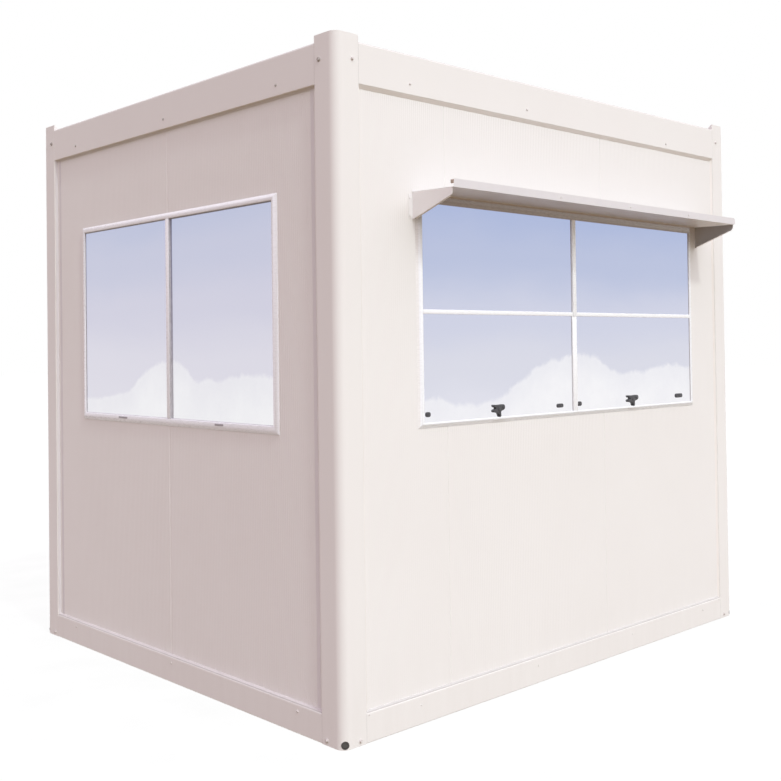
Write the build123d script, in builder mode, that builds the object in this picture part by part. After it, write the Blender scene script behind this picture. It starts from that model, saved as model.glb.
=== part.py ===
from build123d import *
import os

os.makedirs("parts", exist_ok=True)

# ---------------------------------------------------------------------------
# Prefabricated guard booth. Millimetres, +Z up, ground at z = 0.
# Origin: middle of the base on the ground. The front (awning side) faces -Y.
# ---------------------------------------------------------------------------
width = 2990.0          # over the corner posts, along X
depth = 2438.0          # over the corner posts, along Y
post_top = 2789.5       # top of the corner posts
beam_top = 2763.0       # top of the roof beams
beam_low = 2594.0       # underside of the roof beams
base_high = 120.0       # top of the base beams, and the floor level

post_front = 127.0      # width of a corner post on the front and rear face
post_side = 125.0       # width of a corner post on the side faces
back_y = 52.0           # how far a post reaches in behind the front or rear face
back_x = 57.0           # and behind a side face
post_round = 38.0       # radius of the rounded outer corner
sheet = 3.0             # wall of the folded posts and beams
fold = 8.0              # outer radius of the folds
edge = 4.0              # radius of the tighter folds
beam_set = 0.8          # beam face behind the post face
recess_y = 12.0         # front and rear panel face behind the post face
recess_x = 17.0         # side panel face behind the post face
panel_t = 40.0          # sandwich wall panel

hx = width / 2
hy = depth / 2
out_y = hy - recess_y   # outer face of the front and rear panels
in_y = out_y - panel_t  # inner face of the front and rear panels
out_x = hx - recess_x
in_x = out_x - panel_t
clear_x = hx - post_front   # half length of the front and rear beams
clear_y = hy - post_side   # half length of the side beams

# panel joints
seam_1 = -865.0
seam_2 = 285.0
seam_side = 0.0

# front window (four lights)
fw_x0, fw_x1 = -1047.0, 1128.0
fw_z0, fw_z1 = 1211.0, 2187.0
fw_left, fw_right, fw_bottom, fw_head = 32.0, 30.0, 23.0, 33.0
frame_proud = 10.0
frame_back = 5.0
cover = 12.0            # how far a window frame laps over the panel face
mull_x0, mull_x1 = 26.0, 54.0    # middle post above the crossbar
mull_a0, mull_a1 = 22.0, 56.0    # and below it
trans_z0, trans_z1 = 1689.0, 1708.0
pane_out = 3.0          # front glass face outside the panel face

# side windows (two sliding panes)
sw_y0, sw_y1 = -829.5, 808.5
sw_z0, sw_z1 = 1193.0, 2198.0
sw_near, sw_far, sw_bottom, sw_head = 32.0, 26.0, 36.0, 28.0
sw_mull_y0, sw_mull_y1 = -22.0, 5.5
glass_t = 6.0

# awning over the front window
aw_x0, aw_x1 = -1064.0, 1190.0
aw_y = -hy - 222.0      # front of the lip
aw_wall_z = 2193.0      # underside of the sheet at the wall
aw_front_z = 2188.5     # underside of the sheet at the lip
aw_lip = 34.0
aw_up = 10.0            # wall flange, upwards
aw_t = 2.0
gus_right = 1187.0      # outer face of the right gusset
gus_low = 2079.0
gus_front = 2162.0
gus_y = aw_y + 10       # front edge of the gussets
gus_turn = 14.0         # their lower edge is turned inwards
turn_y0, turn_y1 = -out_y - 14, gus_y + 20
turn_z0 = gus_low + (gus_front - gus_low) * (turn_y0 + out_y) / (gus_y + out_y)
turn_z1 = gus_low + (gus_front - gus_low) * (turn_y1 + out_y) / (gus_y + out_y)

# rear door
dr_x0, dr_x1 = -294.0, 646.0
dr_z1 = 2211.0
dr_frame = 40.0

# drain outlet at the foot of each post
drain_z = 18.5
drain_r = 16.0
drain_turn = 11.0       # degrees towards the front from the middle of the rounding
drain_dir = Vector(1, 0, 0).rotate(Axis.Z, 45 + drain_turn)      # inwards
drain_side = Vector(1, 0, 0).rotate(Axis.Z, drain_turn - 45)
drain_at = Vector(-hx + post_round, -hy + post_round, drain_z)


# ------------------------------------------------------------ corner posts
# One folded L-shaped tube per corner. The outer flanges run on above the
# beams, and their returns are cut off at 45 degrees there.
with BuildPart() as corner_post_front_left:
    with BuildSketch(Plane.XY) as post_plan:
        with BuildLine():
            Polyline(
                (-hx, -hy),
                (-hx + post_front, -hy),
                (-hx + post_front, -hy + back_y),
                (-hx + back_x, -hy + back_y),
                (-hx + back_x, -hy + post_side),
                (-hx, -hy + post_side),
                close=True,
            )
        make_face()
        fillet(post_plan.vertices().group_by(Axis.X)[0].sort_by(Axis.Y)[0], post_round)
        fillet(post_plan.vertices().group_by(Axis.X)[-1].sort_by(Axis.Y)[0], edge)
        fillet(post_plan.vertices().group_by(Axis.Y)[-1].sort_by(Axis.X)[0], edge)
        offset(amount=-sheet, kind=Kind.INTERSECTION, mode=Mode.SUBTRACT)
    extrude(amount=post_top)
    # taper of the returns above the beams
    with BuildSketch(Plane.YZ.offset(-hx + back_x - 4)) as cut_a:
        with BuildLine():
            Polyline(
                (-hy + edge + 1, post_top + 5),
                (-hy + edge + 1, post_top),
                (-hy + edge + 33, beam_top - sheet),
                (-hy + back_y + 5, beam_top - sheet),
                (-hy + back_y + 5, post_top + 5),
                close=True,
            )
        make_face()
    extrude(amount=post_front - back_x + 10, mode=Mode.SUBTRACT)
    with BuildSketch(Plane.XZ.offset(hy - back_y + 4)) as cut_b:
        with BuildLine():
            Polyline(
                (-hx + edge + 1, post_top + 5),
                (-hx + edge + 1, post_top),
                (-hx + edge + 33, beam_top - sheet),
                (-hx + back_x + 5, beam_top - sheet),
                (-hx + back_x + 5, post_top + 5),
                close=True,
            )
        make_face()
    extrude(amount=-(post_side - back_y + 10), mode=Mode.SUBTRACT)
    # round hole for the drain, through the rounded corner
    with BuildSketch(Plane(origin=drain_at - drain_dir * (post_round + 10), x_dir=drain_side, z_dir=drain_dir)) as drain_hole:
        Circle(drain_r + 0.3)
    extrude(amount=40, mode=Mode.SUBTRACT)
corner_post_front_left.part.label = "corner_post_front_left"
export_step(corner_post_front_left.part, "parts/corner_post_front_left.step")

with BuildPart() as corner_post_front_right:
    mirror(corner_post_front_left.part, about=Plane.YZ)
corner_post_front_right.part.label = "corner_post_front_right"
export_step(corner_post_front_right.part, "parts/corner_post_front_right.step")

with BuildPart() as corner_post_rear_left:
    mirror(corner_post_front_left.part, about=Plane.XZ)
corner_post_rear_left.part.label = "corner_post_rear_left"
export_step(corner_post_rear_left.part, "parts/corner_post_rear_left.step")

with BuildPart() as corner_post_rear_right:
    mirror(corner_post_front_right.part, about=Plane.XZ)
corner_post_rear_right.part.label = "corner_post_rear_right"
export_step(corner_post_rear_right.part, "parts/corner_post_rear_right.step")

# drain outlets: a short closed-back pipe end in each post foot
with BuildPart() as drain_outlets:
    with BuildSketch(Plane(origin=drain_at - drain_dir * (post_round - 1.2), x_dir=drain_side, z_dir=drain_dir)) as pipe_round:
        Circle(drain_r)
    extrude(amount=34)
    with BuildSketch(Plane(origin=drain_at - drain_dir * (post_round - 1.2), x_dir=drain_side, z_dir=drain_dir)) as pipe_bore:
        Circle(drain_r - 2.5)
    extrude(amount=26, mode=Mode.SUBTRACT)
    mirror(about=Plane.YZ)
    mirror(about=Plane.XZ)
drain_outlets.part.label = "drain_outlets"
export_step(drain_outlets.part, "parts/drain_outlets.step")

# ------------------------------------------------------------- base beams
# Folded channels, open to the inside, between the posts.
by0 = -hy + beam_set
with BuildPart() as bottom_beam_front:
    with BuildSketch(Plane.YZ.offset(-clear_x)) as base_section:
        with BuildLine():
            Polyline(
                (by0, 0),
                (-in_y, 0),
                (-in_y, sheet),
                (by0 + sheet, sheet),
                (by0 + sheet, base_high - sheet),
                (-in_y, base_high - sheet),
                (-in_y, base_high),
                (by0, base_high),
                close=True,
            )
        make_face()
        fillet(base_section.vertices().group_by(Axis.X)[0].sort_by(Axis.Y)[-1], fold)
        fillet(base_section.vertices().group_by(Axis.X)[0].sort_by(Axis.Y)[0], edge)
    extrude(amount=2 * clear_x)
bottom_beam_front.part.label = "bottom_beam_front"
export_step(bottom_beam_front.part, "parts/bottom_beam_front.step")

with BuildPart() as bottom_beam_rear:
    mirror(bottom_beam_front.part, about=Plane.XZ)
bottom_beam_rear.part.label = "bottom_beam_rear"
export_step(bottom_beam_rear.part, "parts/bottom_beam_rear.step")

bx0 = -hx + beam_set
with BuildPart() as bottom_beam_left:
    with BuildSketch(Plane.XZ.offset(-clear_y)) as side_base_section:
        with BuildLine():
            Polyline(
                (bx0, 0),
                (-in_x, 0),
                (-in_x, sheet),
                (bx0 + sheet, sheet),
                (bx0 + sheet, base_high - sheet),
                (-in_x, base_high - sheet),
                (-in_x, base_high),
                (bx0, base_high),
                close=True,
            )
        make_face()
        fillet(side_base_section.vertices().group_by(Axis.X)[0].sort_by(Axis.Y)[-1], fold)
        fillet(side_base_section.vertices().group_by(Axis.X)[0].sort_by(Axis.Y)[0], edge)
    extrude(amount=2 * clear_y)
bottom_beam_left.part.label = "bottom_beam_left"
export_step(bottom_beam_left.part, "parts/bottom_beam_left.step")

with BuildPart() as bottom_beam_right:
    mirror(bottom_beam_left.part, about=Plane.YZ)
bottom_beam_right.part.label = "bottom_beam_right"
export_step(bottom_beam_right.part, "parts/bottom_beam_right.step")

# --------------------------------------------------------------- top beams
# Channels with a wider lower flange that carries the roof panel, and a
# turned-down lip above the roof sheet.
roof_sit = beam_low + sheet
roof_t = 100.0
roof_sheet_z = roof_sit + roof_t
shelf = 40.0
with BuildPart() as top_beam_front:
    with BuildSketch(Plane.YZ.offset(-clear_x)) as top_section:
        with BuildLine():
            Polyline(
                (by0, beam_low),
                (-in_y + shelf, beam_low),
                (-in_y + shelf, beam_low + sheet),
                (by0 + sheet, beam_low + sheet),
                (by0 + sheet, beam_top - sheet),
                (-in_y - sheet, beam_top - sheet),
                (-in_y - sheet, roof_sheet_z + sheet),
                (-in_y, roof_sheet_z + sheet),
                (-in_y, beam_top),
                (by0, beam_top),
                close=True,
            )
        make_face()
        fillet(top_section.vertices().group_by(Axis.X)[0].sort_by(Axis.Y)[-1], fold)
        fillet(top_section.vertices().group_by(Axis.X)[0].sort_by(Axis.Y)[0], edge)
        fillet(top_section.vertices().group_by(Axis.X)[1].sort_by(Axis.Y)[-1], fold - sheet)
        fillet(top_section.vertices().group_by(Axis.X)[1].sort_by(Axis.Y)[0], edge - sheet)
    extrude(amount=2 * clear_x)
top_beam_front.part.label = "top_beam_front"
export_step(top_beam_front.part, "parts/top_beam_front.step")

with BuildPart() as top_beam_rear:
    mirror(top_beam_front.part, about=Plane.XZ)
top_beam_rear.part.label = "top_beam_rear"
export_step(top_beam_rear.part, "parts/top_beam_rear.step")

with BuildPart() as top_beam_left:
    with BuildSketch(Plane.XZ.offset(-clear_y)) as side_top_section:
        with BuildLine():
            Polyline(
                (bx0, beam_low),
                (-in_x + shelf, beam_low),
                (-in_x + shelf, beam_low + sheet),
                (bx0 + sheet, beam_low + sheet),
                (bx0 + sheet, beam_top - sheet),
                (-in_x - sheet, beam_top - sheet),
                (-in_x - sheet, roof_sheet_z + sheet),
                (-in_x, roof_sheet_z + sheet),
                (-in_x, beam_top),
                (bx0, beam_top),
                close=True,
            )
        make_face()
        fillet(side_top_section.vertices().group_by(Axis.X)[0].sort_by(Axis.Y)[-1], fold)
        fillet(side_top_section.vertices().group_by(Axis.X)[0].sort_by(Axis.Y)[0], edge)
        fillet(side_top_section.vertices().group_by(Axis.X)[1].sort_by(Axis.Y)[-1], fold - sheet)
        fillet(side_top_section.vertices().group_by(Axis.X)[1].sort_by(Axis.Y)[0], edge - sheet)
    extrude(amount=2 * clear_y)
top_beam_left.part.label = "top_beam_left"
export_step(top_beam_left.part, "parts/top_beam_left.step")

with BuildPart() as top_beam_right:
    mirror(top_beam_left.part, about=Plane.YZ)
top_beam_right.part.label = "top_beam_right"
export_step(top_beam_right.part, "parts/top_beam_right.step")

# ------------------------------------------------------------ floor and roof
with BuildPart() as floor_panel:
    with BuildSketch(Plane.XY) as floor_plan:
        Rectangle(2 * in_x, 2 * in_y)
    extrude(amount=base_high)
floor_panel.part.label = "floor_panel"
export_step(floor_panel.part, "parts/floor_panel.step")

with BuildPart() as roof_panel:
    with BuildSketch(Plane.XY.offset(roof_sit)) as roof_plan:
        Rectangle(2 * in_x, 2 * in_y)
    extrude(amount=roof_t)
roof_panel.part.label = "roof_panel"
export_step(roof_panel.part, "parts/roof_panel.step")

# roof sheet with standing seams from front to back
with BuildPart() as roof_sheet:
    with BuildSketch(Plane.XY.offset(roof_sheet_z)) as sheet_plan:
        Rectangle(2 * in_x, 2 * in_y)
    extrude(amount=sheet)
    with BuildSketch(Plane.XZ.offset(-in_y + 30)) as seam_section:
        for x in (-1144.0, -572.0, 0.0, 572.0, 1144.0):
            with BuildLine():
                Polyline(
                    (x - 16, roof_sheet_z + sheet - 1),
                    (x + 16, roof_sheet_z + sheet - 1),
                    (x + 7, roof_sheet_z + sheet + 28),
                    (x - 7, roof_sheet_z + sheet + 28),
                    close=True,
                )
            make_face()
    extrude(amount=2 * in_y - 60)
roof_sheet.part.label = "roof_sheet"
export_step(roof_sheet.part, "parts/roof_sheet.step")

# ------------------------------------------------------------- front panels
hole_x0, hole_x1 = fw_x0 + cover, fw_x1 - cover
hole_z0, hole_z1 = fw_z0 + cover, fw_z1 - cover

with BuildPart() as front_panel_left:
    with BuildSketch(Plane.XZ.offset(in_y)) as front_left_shape:
        with BuildLine():
            Polyline(
                (-clear_x, base_high),
                (seam_1, base_high),
                (seam_1, hole_z0),
                (hole_x0, hole_z0),
                (hole_x0, hole_z1),
                (seam_1, hole_z1),
                (seam_1, beam_low),
                (-clear_x, beam_low),
                close=True,
            )
        make_face()
    extrude(amount=panel_t)
front_panel_left.part.label = "front_panel_left"
export_step(front_panel_left.part, "parts/front_panel_left.step")

with BuildPart() as front_panel_middle_lower:
    with BuildSketch(Plane.XZ.offset(in_y)) as front_low_shape:
        with BuildLine():
            Polyline((seam_1, base_high), (seam_2, base_high), (seam_2, hole_z0), (seam_1, hole_z0), close=True)
        make_face()
    extrude(amount=panel_t)
front_panel_middle_lower.part.label = "front_panel_middle_lower"
export_step(front_panel_middle_lower.part, "parts/front_panel_middle_lower.step")

with BuildPart() as front_panel_middle_upper:
    with BuildSketch(Plane.XZ.offset(in_y)) as front_up_shape:
        with BuildLine():
            Polyline((seam_1, hole_z1), (seam_2, hole_z1), (seam_2, beam_low), (seam_1, beam_low), close=True)
        make_face()
    extrude(amount=panel_t)
front_panel_middle_upper.part.label = "front_panel_middle_upper"
export_step(front_panel_middle_upper.part, "parts/front_panel_middle_upper.step")

with BuildPart() as front_panel_right:
    with BuildSketch(Plane.XZ.offset(in_y)) as front_right_shape:
        with BuildLine():
            Polyline(
                (seam_2, base_high),
                (clear_x, base_high),
                (clear_x, beam_low),
                (seam_2, beam_low),
                (seam_2, hole_z1),
                (hole_x1, hole_z1),
                (hole_x1, hole_z0),
                (seam_2, hole_z0),
                close=True,
            )
        make_face()
    extrude(amount=panel_t)
front_panel_right.part.label = "front_panel_right"
export_step(front_panel_right.part, "parts/front_panel_right.step")

# -------------------------------------------------------------- side panels
sh_y0, sh_y1 = sw_y0 + cover, sw_y1 - cover
sh_z0, sh_z1 = sw_z0 + cover, sw_z1 - cover

with BuildPart() as left_panel_front:
    with BuildSketch(Plane.YZ.offset(-out_x)) as left_front_shape:
        with BuildLine():
            Polyline(
                (-clear_y, base_high),
                (seam_side, base_high),
                (seam_side, sh_z0),
                (sh_y0, sh_z0),
                (sh_y0, sh_z1),
                (seam_side, sh_z1),
                (seam_side, beam_low),
                (-clear_y, beam_low),
                close=True,
            )
        make_face()
    extrude(amount=panel_t)
left_panel_front.part.label = "left_panel_front"
export_step(left_panel_front.part, "parts/left_panel_front.step")

with BuildPart() as left_panel_rear:
    with BuildSketch(Plane.YZ.offset(-out_x)) as left_rear_shape:
        with BuildLine():
            Polyline(
                (seam_side, base_high),
                (clear_y, base_high),
                (clear_y, beam_low),
                (seam_side, beam_low),
                (seam_side, sh_z1),
                (sh_y1, sh_z1),
                (sh_y1, sh_z0),
                (seam_side, sh_z0),
                close=True,
            )
        make_face()
    extrude(amount=panel_t)
left_panel_rear.part.label = "left_panel_rear"
export_step(left_panel_rear.part, "parts/left_panel_rear.step")

with BuildPart() as right_panel_front:
    mirror(left_panel_front.part, about=Plane.YZ)
right_panel_front.part.label = "right_panel_front"
export_step(right_panel_front.part, "parts/right_panel_front.step")

with BuildPart() as right_panel_rear:
    mirror(left_panel_rear.part, about=Plane.YZ)
right_panel_rear.part.label = "right_panel_rear"
export_step(right_panel_rear.part, "parts/right_panel_rear.step")

# -------------------------------------------------------------- rear panels
with BuildPart() as rear_panel_left:
    with BuildSketch(Plane.XZ.offset(-out_y)) as rear_left_shape:
        with BuildLine():
            Polyline((-clear_x, base_high), (dr_x0, base_high), (dr_x0, beam_low), (-clear_x, beam_low), close=True)
        make_face()
    extrude(amount=panel_t)
rear_panel_left.part.label = "rear_panel_left"
export_step(rear_panel_left.part, "parts/rear_panel_left.step")

with BuildPart() as rear_panel_right:
    with BuildSketch(Plane.XZ.offset(-out_y)) as rear_right_shape:
        with BuildLine():
            Polyline((dr_x1, base_high), (clear_x, base_high), (clear_x, beam_low), (dr_x1, beam_low), close=True)
        make_face()
    extrude(amount=panel_t)
rear_panel_right.part.label = "rear_panel_right"
export_step(rear_panel_right.part, "parts/rear_panel_right.step")

with BuildPart() as rear_panel_over_door:
    with BuildSketch(Plane.XZ.offset(-out_y)) as rear_over_shape:
        with BuildLine():
            Polyline((dr_x0, dr_z1), (dr_x1, dr_z1), (dr_x1, beam_low), (dr_x0, beam_low), close=True)
        make_face()
    extrude(amount=panel_t)
rear_panel_over_door.part.label = "rear_panel_over_door"
export_step(rear_panel_over_door.part, "parts/rear_panel_over_door.step")

# -------------------------------------------------------------------- door
with BuildPart() as door_frame:
    with BuildSketch(Plane.XZ.offset(-out_y)) as jamb_ring:
        with BuildLine():
            Polyline((dr_x0, base_high), (dr_x1, base_high), (dr_x1, dr_z1), (dr_x0, dr_z1), close=True)
        make_face()
        with BuildLine():
            Polyline(
                (dr_x0 + dr_frame, base_high + 12),
                (dr_x1 - dr_frame, base_high + 12),
                (dr_x1 - dr_frame, dr_z1 - dr_frame),
                (dr_x0 + dr_frame, dr_z1 - dr_frame),
                close=True,
            )
        make_face(mode=Mode.SUBTRACT)
    extrude(amount=panel_t)
    # architrave standing proud over the panel face
    with BuildSketch(Plane.XZ.offset(-out_y - frame_proud)) as architrave:
        with BuildLine():
            Polyline(
                (dr_x0 - 14, base_high),
                (dr_x1 + 14, base_high),
                (dr_x1 + 14, dr_z1 + 14),
                (dr_x0 - 14, dr_z1 + 14),
                close=True,
            )
        make_face()
        with BuildLine():
            Polyline(
                (dr_x0 + dr_frame, base_high + 12),
                (dr_x1 - dr_frame, base_high + 12),
                (dr_x1 - dr_frame, dr_z1 - dr_frame),
                (dr_x0 + dr_frame, dr_z1 - dr_frame),
                close=True,
            )
        make_face(mode=Mode.SUBTRACT)
    extrude(amount=frame_proud)
door_frame.part.label = "door_frame"
export_step(door_frame.part, "parts/door_frame.step")

leaf_gap = 3.0
with BuildPart() as door_leaf:
    with BuildSketch(Plane.XZ.offset(-out_y - 4)) as leaf_shape:
        with BuildLine():
            Polyline(
                (dr_x0 + dr_frame + leaf_gap, base_high + 12 + leaf_gap),
                (dr_x1 - dr_frame - leaf_gap, base_high + 12 + leaf_gap),
                (dr_x1 - dr_frame - leaf_gap, dr_z1 - dr_frame - leaf_gap),
                (dr_x0 + dr_frame + leaf_gap, dr_z1 - dr_frame - leaf_gap),
                close=True,
            )
        make_face()
    extrude(amount=40)
door_leaf.part.label = "door_leaf"
export_step(door_leaf.part, "parts/door_leaf.step")

# lever handle with its long plate, outside
lever_x = dr_x1 - dr_frame - leaf_gap - 62
lever_z = base_high + 1020
with BuildPart() as door_handle:
    with BuildSketch(Plane.XZ.offset(-out_y - 4)) as plate_shape:
        with Locations((lever_x, lever_z - 60)):
            RectangleRounded(42, 230, 8)
    extrude(amount=-6)
    with BuildSketch(Plane.XZ.offset(-out_y - 10)) as neck_shape:
        with Locations((lever_x, lever_z)):
            Circle(10)
    extrude(amount=-36)
    with BuildSketch(Plane.YZ.offset(lever_x + 10)) as bar_shape:
        with Locations((out_y + 46, lever_z)):
            RectangleRounded(14, 20, 5)
    extrude(amount=-135)
door_handle.part.label = "door_handle"
export_step(door_handle.part, "parts/door_handle.step")

# three barrel hinges on the other edge
with BuildPart() as door_hinges:
    for z in (base_high + 220, base_high + 1040, base_high + 1860):
        with BuildSketch(Plane.XY.offset(z)) as barrel:
            with Locations((dr_x0 + dr_frame + leaf_gap / 2, out_y + frame_proud + 8)):
                Circle(8)
        extrude(amount=110)
        with BuildSketch(Plane.XY.offset(z + 8)) as hinge_leaf:
            with Locations((dr_x0 + dr_frame - 12, out_y + frame_proud + 2)):
                Rectangle(26, 4)
        extrude(amount=94)
door_hinges.part.label = "door_hinges"
export_step(door_hinges.part, "parts/door_hinges.step")

# ------------------------------------------------------------ front window
fi_x0, fi_x1 = fw_x0 + fw_left, fw_x1 - fw_right
fi_z0, fi_z1 = fw_z0 + fw_bottom, fw_z1 - fw_head

with BuildPart() as front_window_frame:
    # body in the wall opening
    with BuildSketch(Plane.XZ.offset(in_y - frame_back)) as fw_body:
        with BuildLine():
            Polyline((hole_x0, hole_z0), (hole_x1, hole_z0), (hole_x1, hole_z1), (hole_x0, hole_z1), close=True)
        make_face()
        with BuildLine():
            Polyline((fi_x0, fi_z0), (fi_x1, fi_z0), (fi_x1, fi_z1), (fi_x0, fi_z1), close=True)
        make_face(mode=Mode.SUBTRACT)
    extrude(amount=panel_t + frame_back)
    # cover flange over the panel face
    with BuildSketch(Plane.XZ.offset(out_y)) as fw_flange:
        with BuildLine():
            Polyline((fw_x0, fw_z0), (fw_x1, fw_z0), (fw_x1, fw_z1), (fw_x0, fw_z1), close=True)
        make_face()
        with BuildLine():
            Polyline((fi_x0, fi_z0), (fi_x1, fi_z0), (fi_x1, fi_z1), (fi_x0, fi_z1), close=True)
        make_face(mode=Mode.SUBTRACT)
    extrude(amount=frame_proud)
    rim = front_window_frame.faces().sort_by(Axis.Y)[0].outer_wire().edges()
    chamfer(rim, 2.5)
front_window_frame.part.label = "front_window_frame"
export_step(front_window_frame.part, "parts/front_window_frame.step")

# middle post and crossbars, one cross
with BuildPart() as front_window_crossbars:
    with BuildSketch(Plane.XZ.offset(in_y)) as cross_upper:
        with BuildLine():
            Polyline((mull_x0, trans_z0), (mull_x1, trans_z0), (mull_x1, fi_z1), (mull_x0, fi_z1), close=True)
        make_face()
    extrude(amount=panel_t + frame_proud + 3)
    with BuildSketch(Plane.XZ.offset(in_y)) as cross_lower:
        with BuildLine():
            Polyline((mull_a0, fi_z0), (mull_a1, fi_z0), (mull_a1, trans_z0), (mull_a0, trans_z0), close=True)
        make_face()
    extrude(amount=panel_t + frame_proud)
    with BuildSketch(Plane.XZ.offset(in_y)) as cross_rail:
        with BuildLine():
            Polyline((fi_x0, trans_z0), (fi_x1, trans_z0), (fi_x1, trans_z1), (fi_x0, trans_z1), close=True)
        make_face()
    extrude(amount=panel_t + frame_proud)
front_window_crossbars.part.label = "front_window_crossbars"
export_step(front_window_crossbars.part, "parts/front_window_crossbars.step")

with BuildPart() as front_window_upper_glass:
    with BuildSketch(Plane.XZ.offset(out_y + pane_out - glass_t)) as upper_panes:
        for x0, x1 in ((fi_x0, mull_x0), (mull_x1, fi_x1)):
            with BuildLine():
                Polyline((x0, trans_z1), (x1, trans_z1), (x1, fi_z1), (x0, fi_z1), close=True)
            make_face()
    extrude(amount=glass_t)
front_window_upper_glass.part.label = "front_window_upper_glass"
export_step(front_window_upper_glass.part, "parts/front_window_upper_glass.step")

with BuildPart() as front_window_lower_glass:
    with BuildSketch(Plane.XZ.offset(out_y + pane_out - glass_t)) as lower_panes:
        for x0, x1 in ((fi_x0, mull_a0), (mull_a1, fi_x1)):
            with BuildLine():
                Polyline((x0, fi_z0), (x1, fi_z0), (x1, trans_z0), (x0, trans_z0), close=True)
            make_face()
    extrude(amount=glass_t)
front_window_lower_glass.part.label = "front_window_lower_glass"
export_step(front_window_lower_glass.part, "parts/front_window_lower_glass.step")

# dark handles and stops on the lower panes
glass_y = -(out_y + pane_out)
with BuildPart() as front_window_latches:
    for x, z, w, h in ((-989.0, 1268.0, 28.0, 24.0), (-79.0, 1264.0, 46.0, 22.0), (75.0, 1266.0, 34.0, 25.0), (979.0, 1270.0, 66.0, 24.0)):
        with BuildSketch(Plane.XZ.offset(-glass_y)) as stop_shape:
            with Locations((x, z)):
                RectangleRounded(w, h, 6)
        extrude(amount=7)
    for x in (-534.0, 531.0):
        with BuildSketch(Plane.XZ.offset(-glass_y)) as lock_body:
            with Locations((x, 1275.0)):
                RectangleRounded(74, 26, 8)
            with Locations((x - 2, 1252.0)):
                RectangleRounded(16, 34, 6)
        extrude(amount=12)
front_window_latches.part.label = "front_window_latches"
export_step(front_window_latches.part, "parts/front_window_latches.step")

# ------------------------------------------------------------- side windows
si_y0, si_y1 = sw_y0 + sw_near, sw_y1 - sw_far
si_z0, si_z1 = sw_z0 + sw_bottom, sw_z1 - sw_head

with BuildPart() as left_window_frame:
    with BuildSketch(Plane.YZ.offset(-out_x)) as sw_body:
        with BuildLine():
            Polyline((sh_y0, sh_z0), (sh_y1, sh_z0), (sh_y1, sh_z1), (sh_y0, sh_z1), close=True)
        make_face()
        with BuildLine():
            Polyline((si_y0, si_z0), (si_y1, si_z0), (si_y1, si_z1), (si_y0, si_z1), close=True)
        make_face(mode=Mode.SUBTRACT)
    extrude(amount=panel_t + frame_back)
    with BuildSketch(Plane.YZ.offset(-out_x - frame_proud)) as sw_flange:
        with BuildLine():
            Polyline((sw_y0, sw_z0), (sw_y1, sw_z0), (sw_y1, sw_z1), (sw_y0, sw_z1), close=True)
        make_face()
        with BuildLine():
            Polyline((si_y0, si_z0), (si_y1, si_z0), (si_y1, si_z1), (si_y0, si_z1), close=True)
        make_face(mode=Mode.SUBTRACT)
    extrude(amount=frame_proud)
    side_rim = left_window_frame.faces().sort_by(Axis.X)[0].outer_wire().edges()
    chamfer(side_rim, 5)
left_window_frame.part.label = "left_window_frame"
export_step(left_window_frame.part, "parts/left_window_frame.step")

with BuildPart() as left_window_mullion:
    with BuildSketch(Plane.YZ.offset(-out_x - frame_proud)) as meeting_bar:
        with BuildLine():
            Polyline((sw_mull_y0, si_z0), (sw_mull_y1, si_z0), (sw_mull_y1, si_z1), (sw_mull_y0, si_z1), close=True)
        make_face()
    extrude(amount=panel_t + frame_proud)
left_window_mullion.part.label = "left_window_mullion"
export_step(left_window_mullion.part, "parts/left_window_mullion.step")

# the rear pane runs in the outer track, the front pane in the inner one
with BuildPart() as left_window_glass:
    with BuildSketch(Plane.YZ.offset(-out_x - frame_proud + 9)) as rear_pane:
        with BuildLine():
            Polyline((sw_mull_y1, si_z0), (si_y1, si_z0), (si_y1, si_z1), (sw_mull_y1, si_z1), close=True)
        make_face()
    extrude(amount=glass_t)
    with BuildSketch(Plane.YZ.offset(-out_x - frame_proud + 11)) as front_pane:
        with BuildLine():
            Polyline((si_y0, si_z0), (sw_mull_y0, si_z0), (sw_mull_y0, si_z1), (si_y0, si_z1), close=True)
        make_face()
    extrude(amount=glass_t)
left_window_glass.part.label = "left_window_glass"
export_step(left_window_glass.part, "parts/left_window_glass.step")

with BuildPart() as right_window_frame:
    mirror(left_window_frame.part, about=Plane.YZ)
right_window_frame.part.label = "right_window_frame"
export_step(right_window_frame.part, "parts/right_window_frame.step")

with BuildPart() as right_window_mullion:
    mirror(left_window_mullion.part, about=Plane.YZ)
right_window_mullion.part.label = "right_window_mullion"
export_step(right_window_mullion.part, "parts/right_window_mullion.step")

with BuildPart() as right_window_glass:
    mirror(left_window_glass.part, about=Plane.YZ)
right_window_glass.part.label = "right_window_glass"
export_step(right_window_glass.part, "parts/right_window_glass.step")

# ------------------------------------------------------------------ awning
with BuildPart() as awning_sheet:
    with BuildSketch(Plane.YZ.offset(aw_x0)) as awning_section:
        with BuildLine():
            Polyline(
                (-out_y, aw_wall_z),
                (aw_y, aw_front_z),
                (aw_y, aw_front_z + aw_lip),
                (aw_y + aw_t, aw_front_z + aw_lip),
                (aw_y + aw_t, aw_front_z + aw_t),
                (-out_y - aw_t, aw_wall_z + aw_t),
                (-out_y - aw_t, aw_wall_z + aw_up),
                (-out_y, aw_wall_z + aw_up),
                close=True,
            )
        make_face()
    extrude(amount=aw_x1 - aw_x0)
    tips = awning_sheet.edges().filter_by(Axis.Y).filter_by_position(Axis.Z, aw_front_z + aw_lip - 0.5, aw_front_z + aw_lip + 0.5)
    fillet(tips.sort_by(Axis.X)[-1], 12)
    fillet(awning_sheet.edges().filter_by(Axis.Y).filter_by_position(Axis.Z, aw_front_z + aw_lip - 0.5, aw_front_z + aw_lip + 0.5).sort_by(Axis.X)[0], 4)
awning_sheet.part.label = "awning_sheet"
export_step(awning_sheet.part, "parts/awning_sheet.step")

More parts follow.
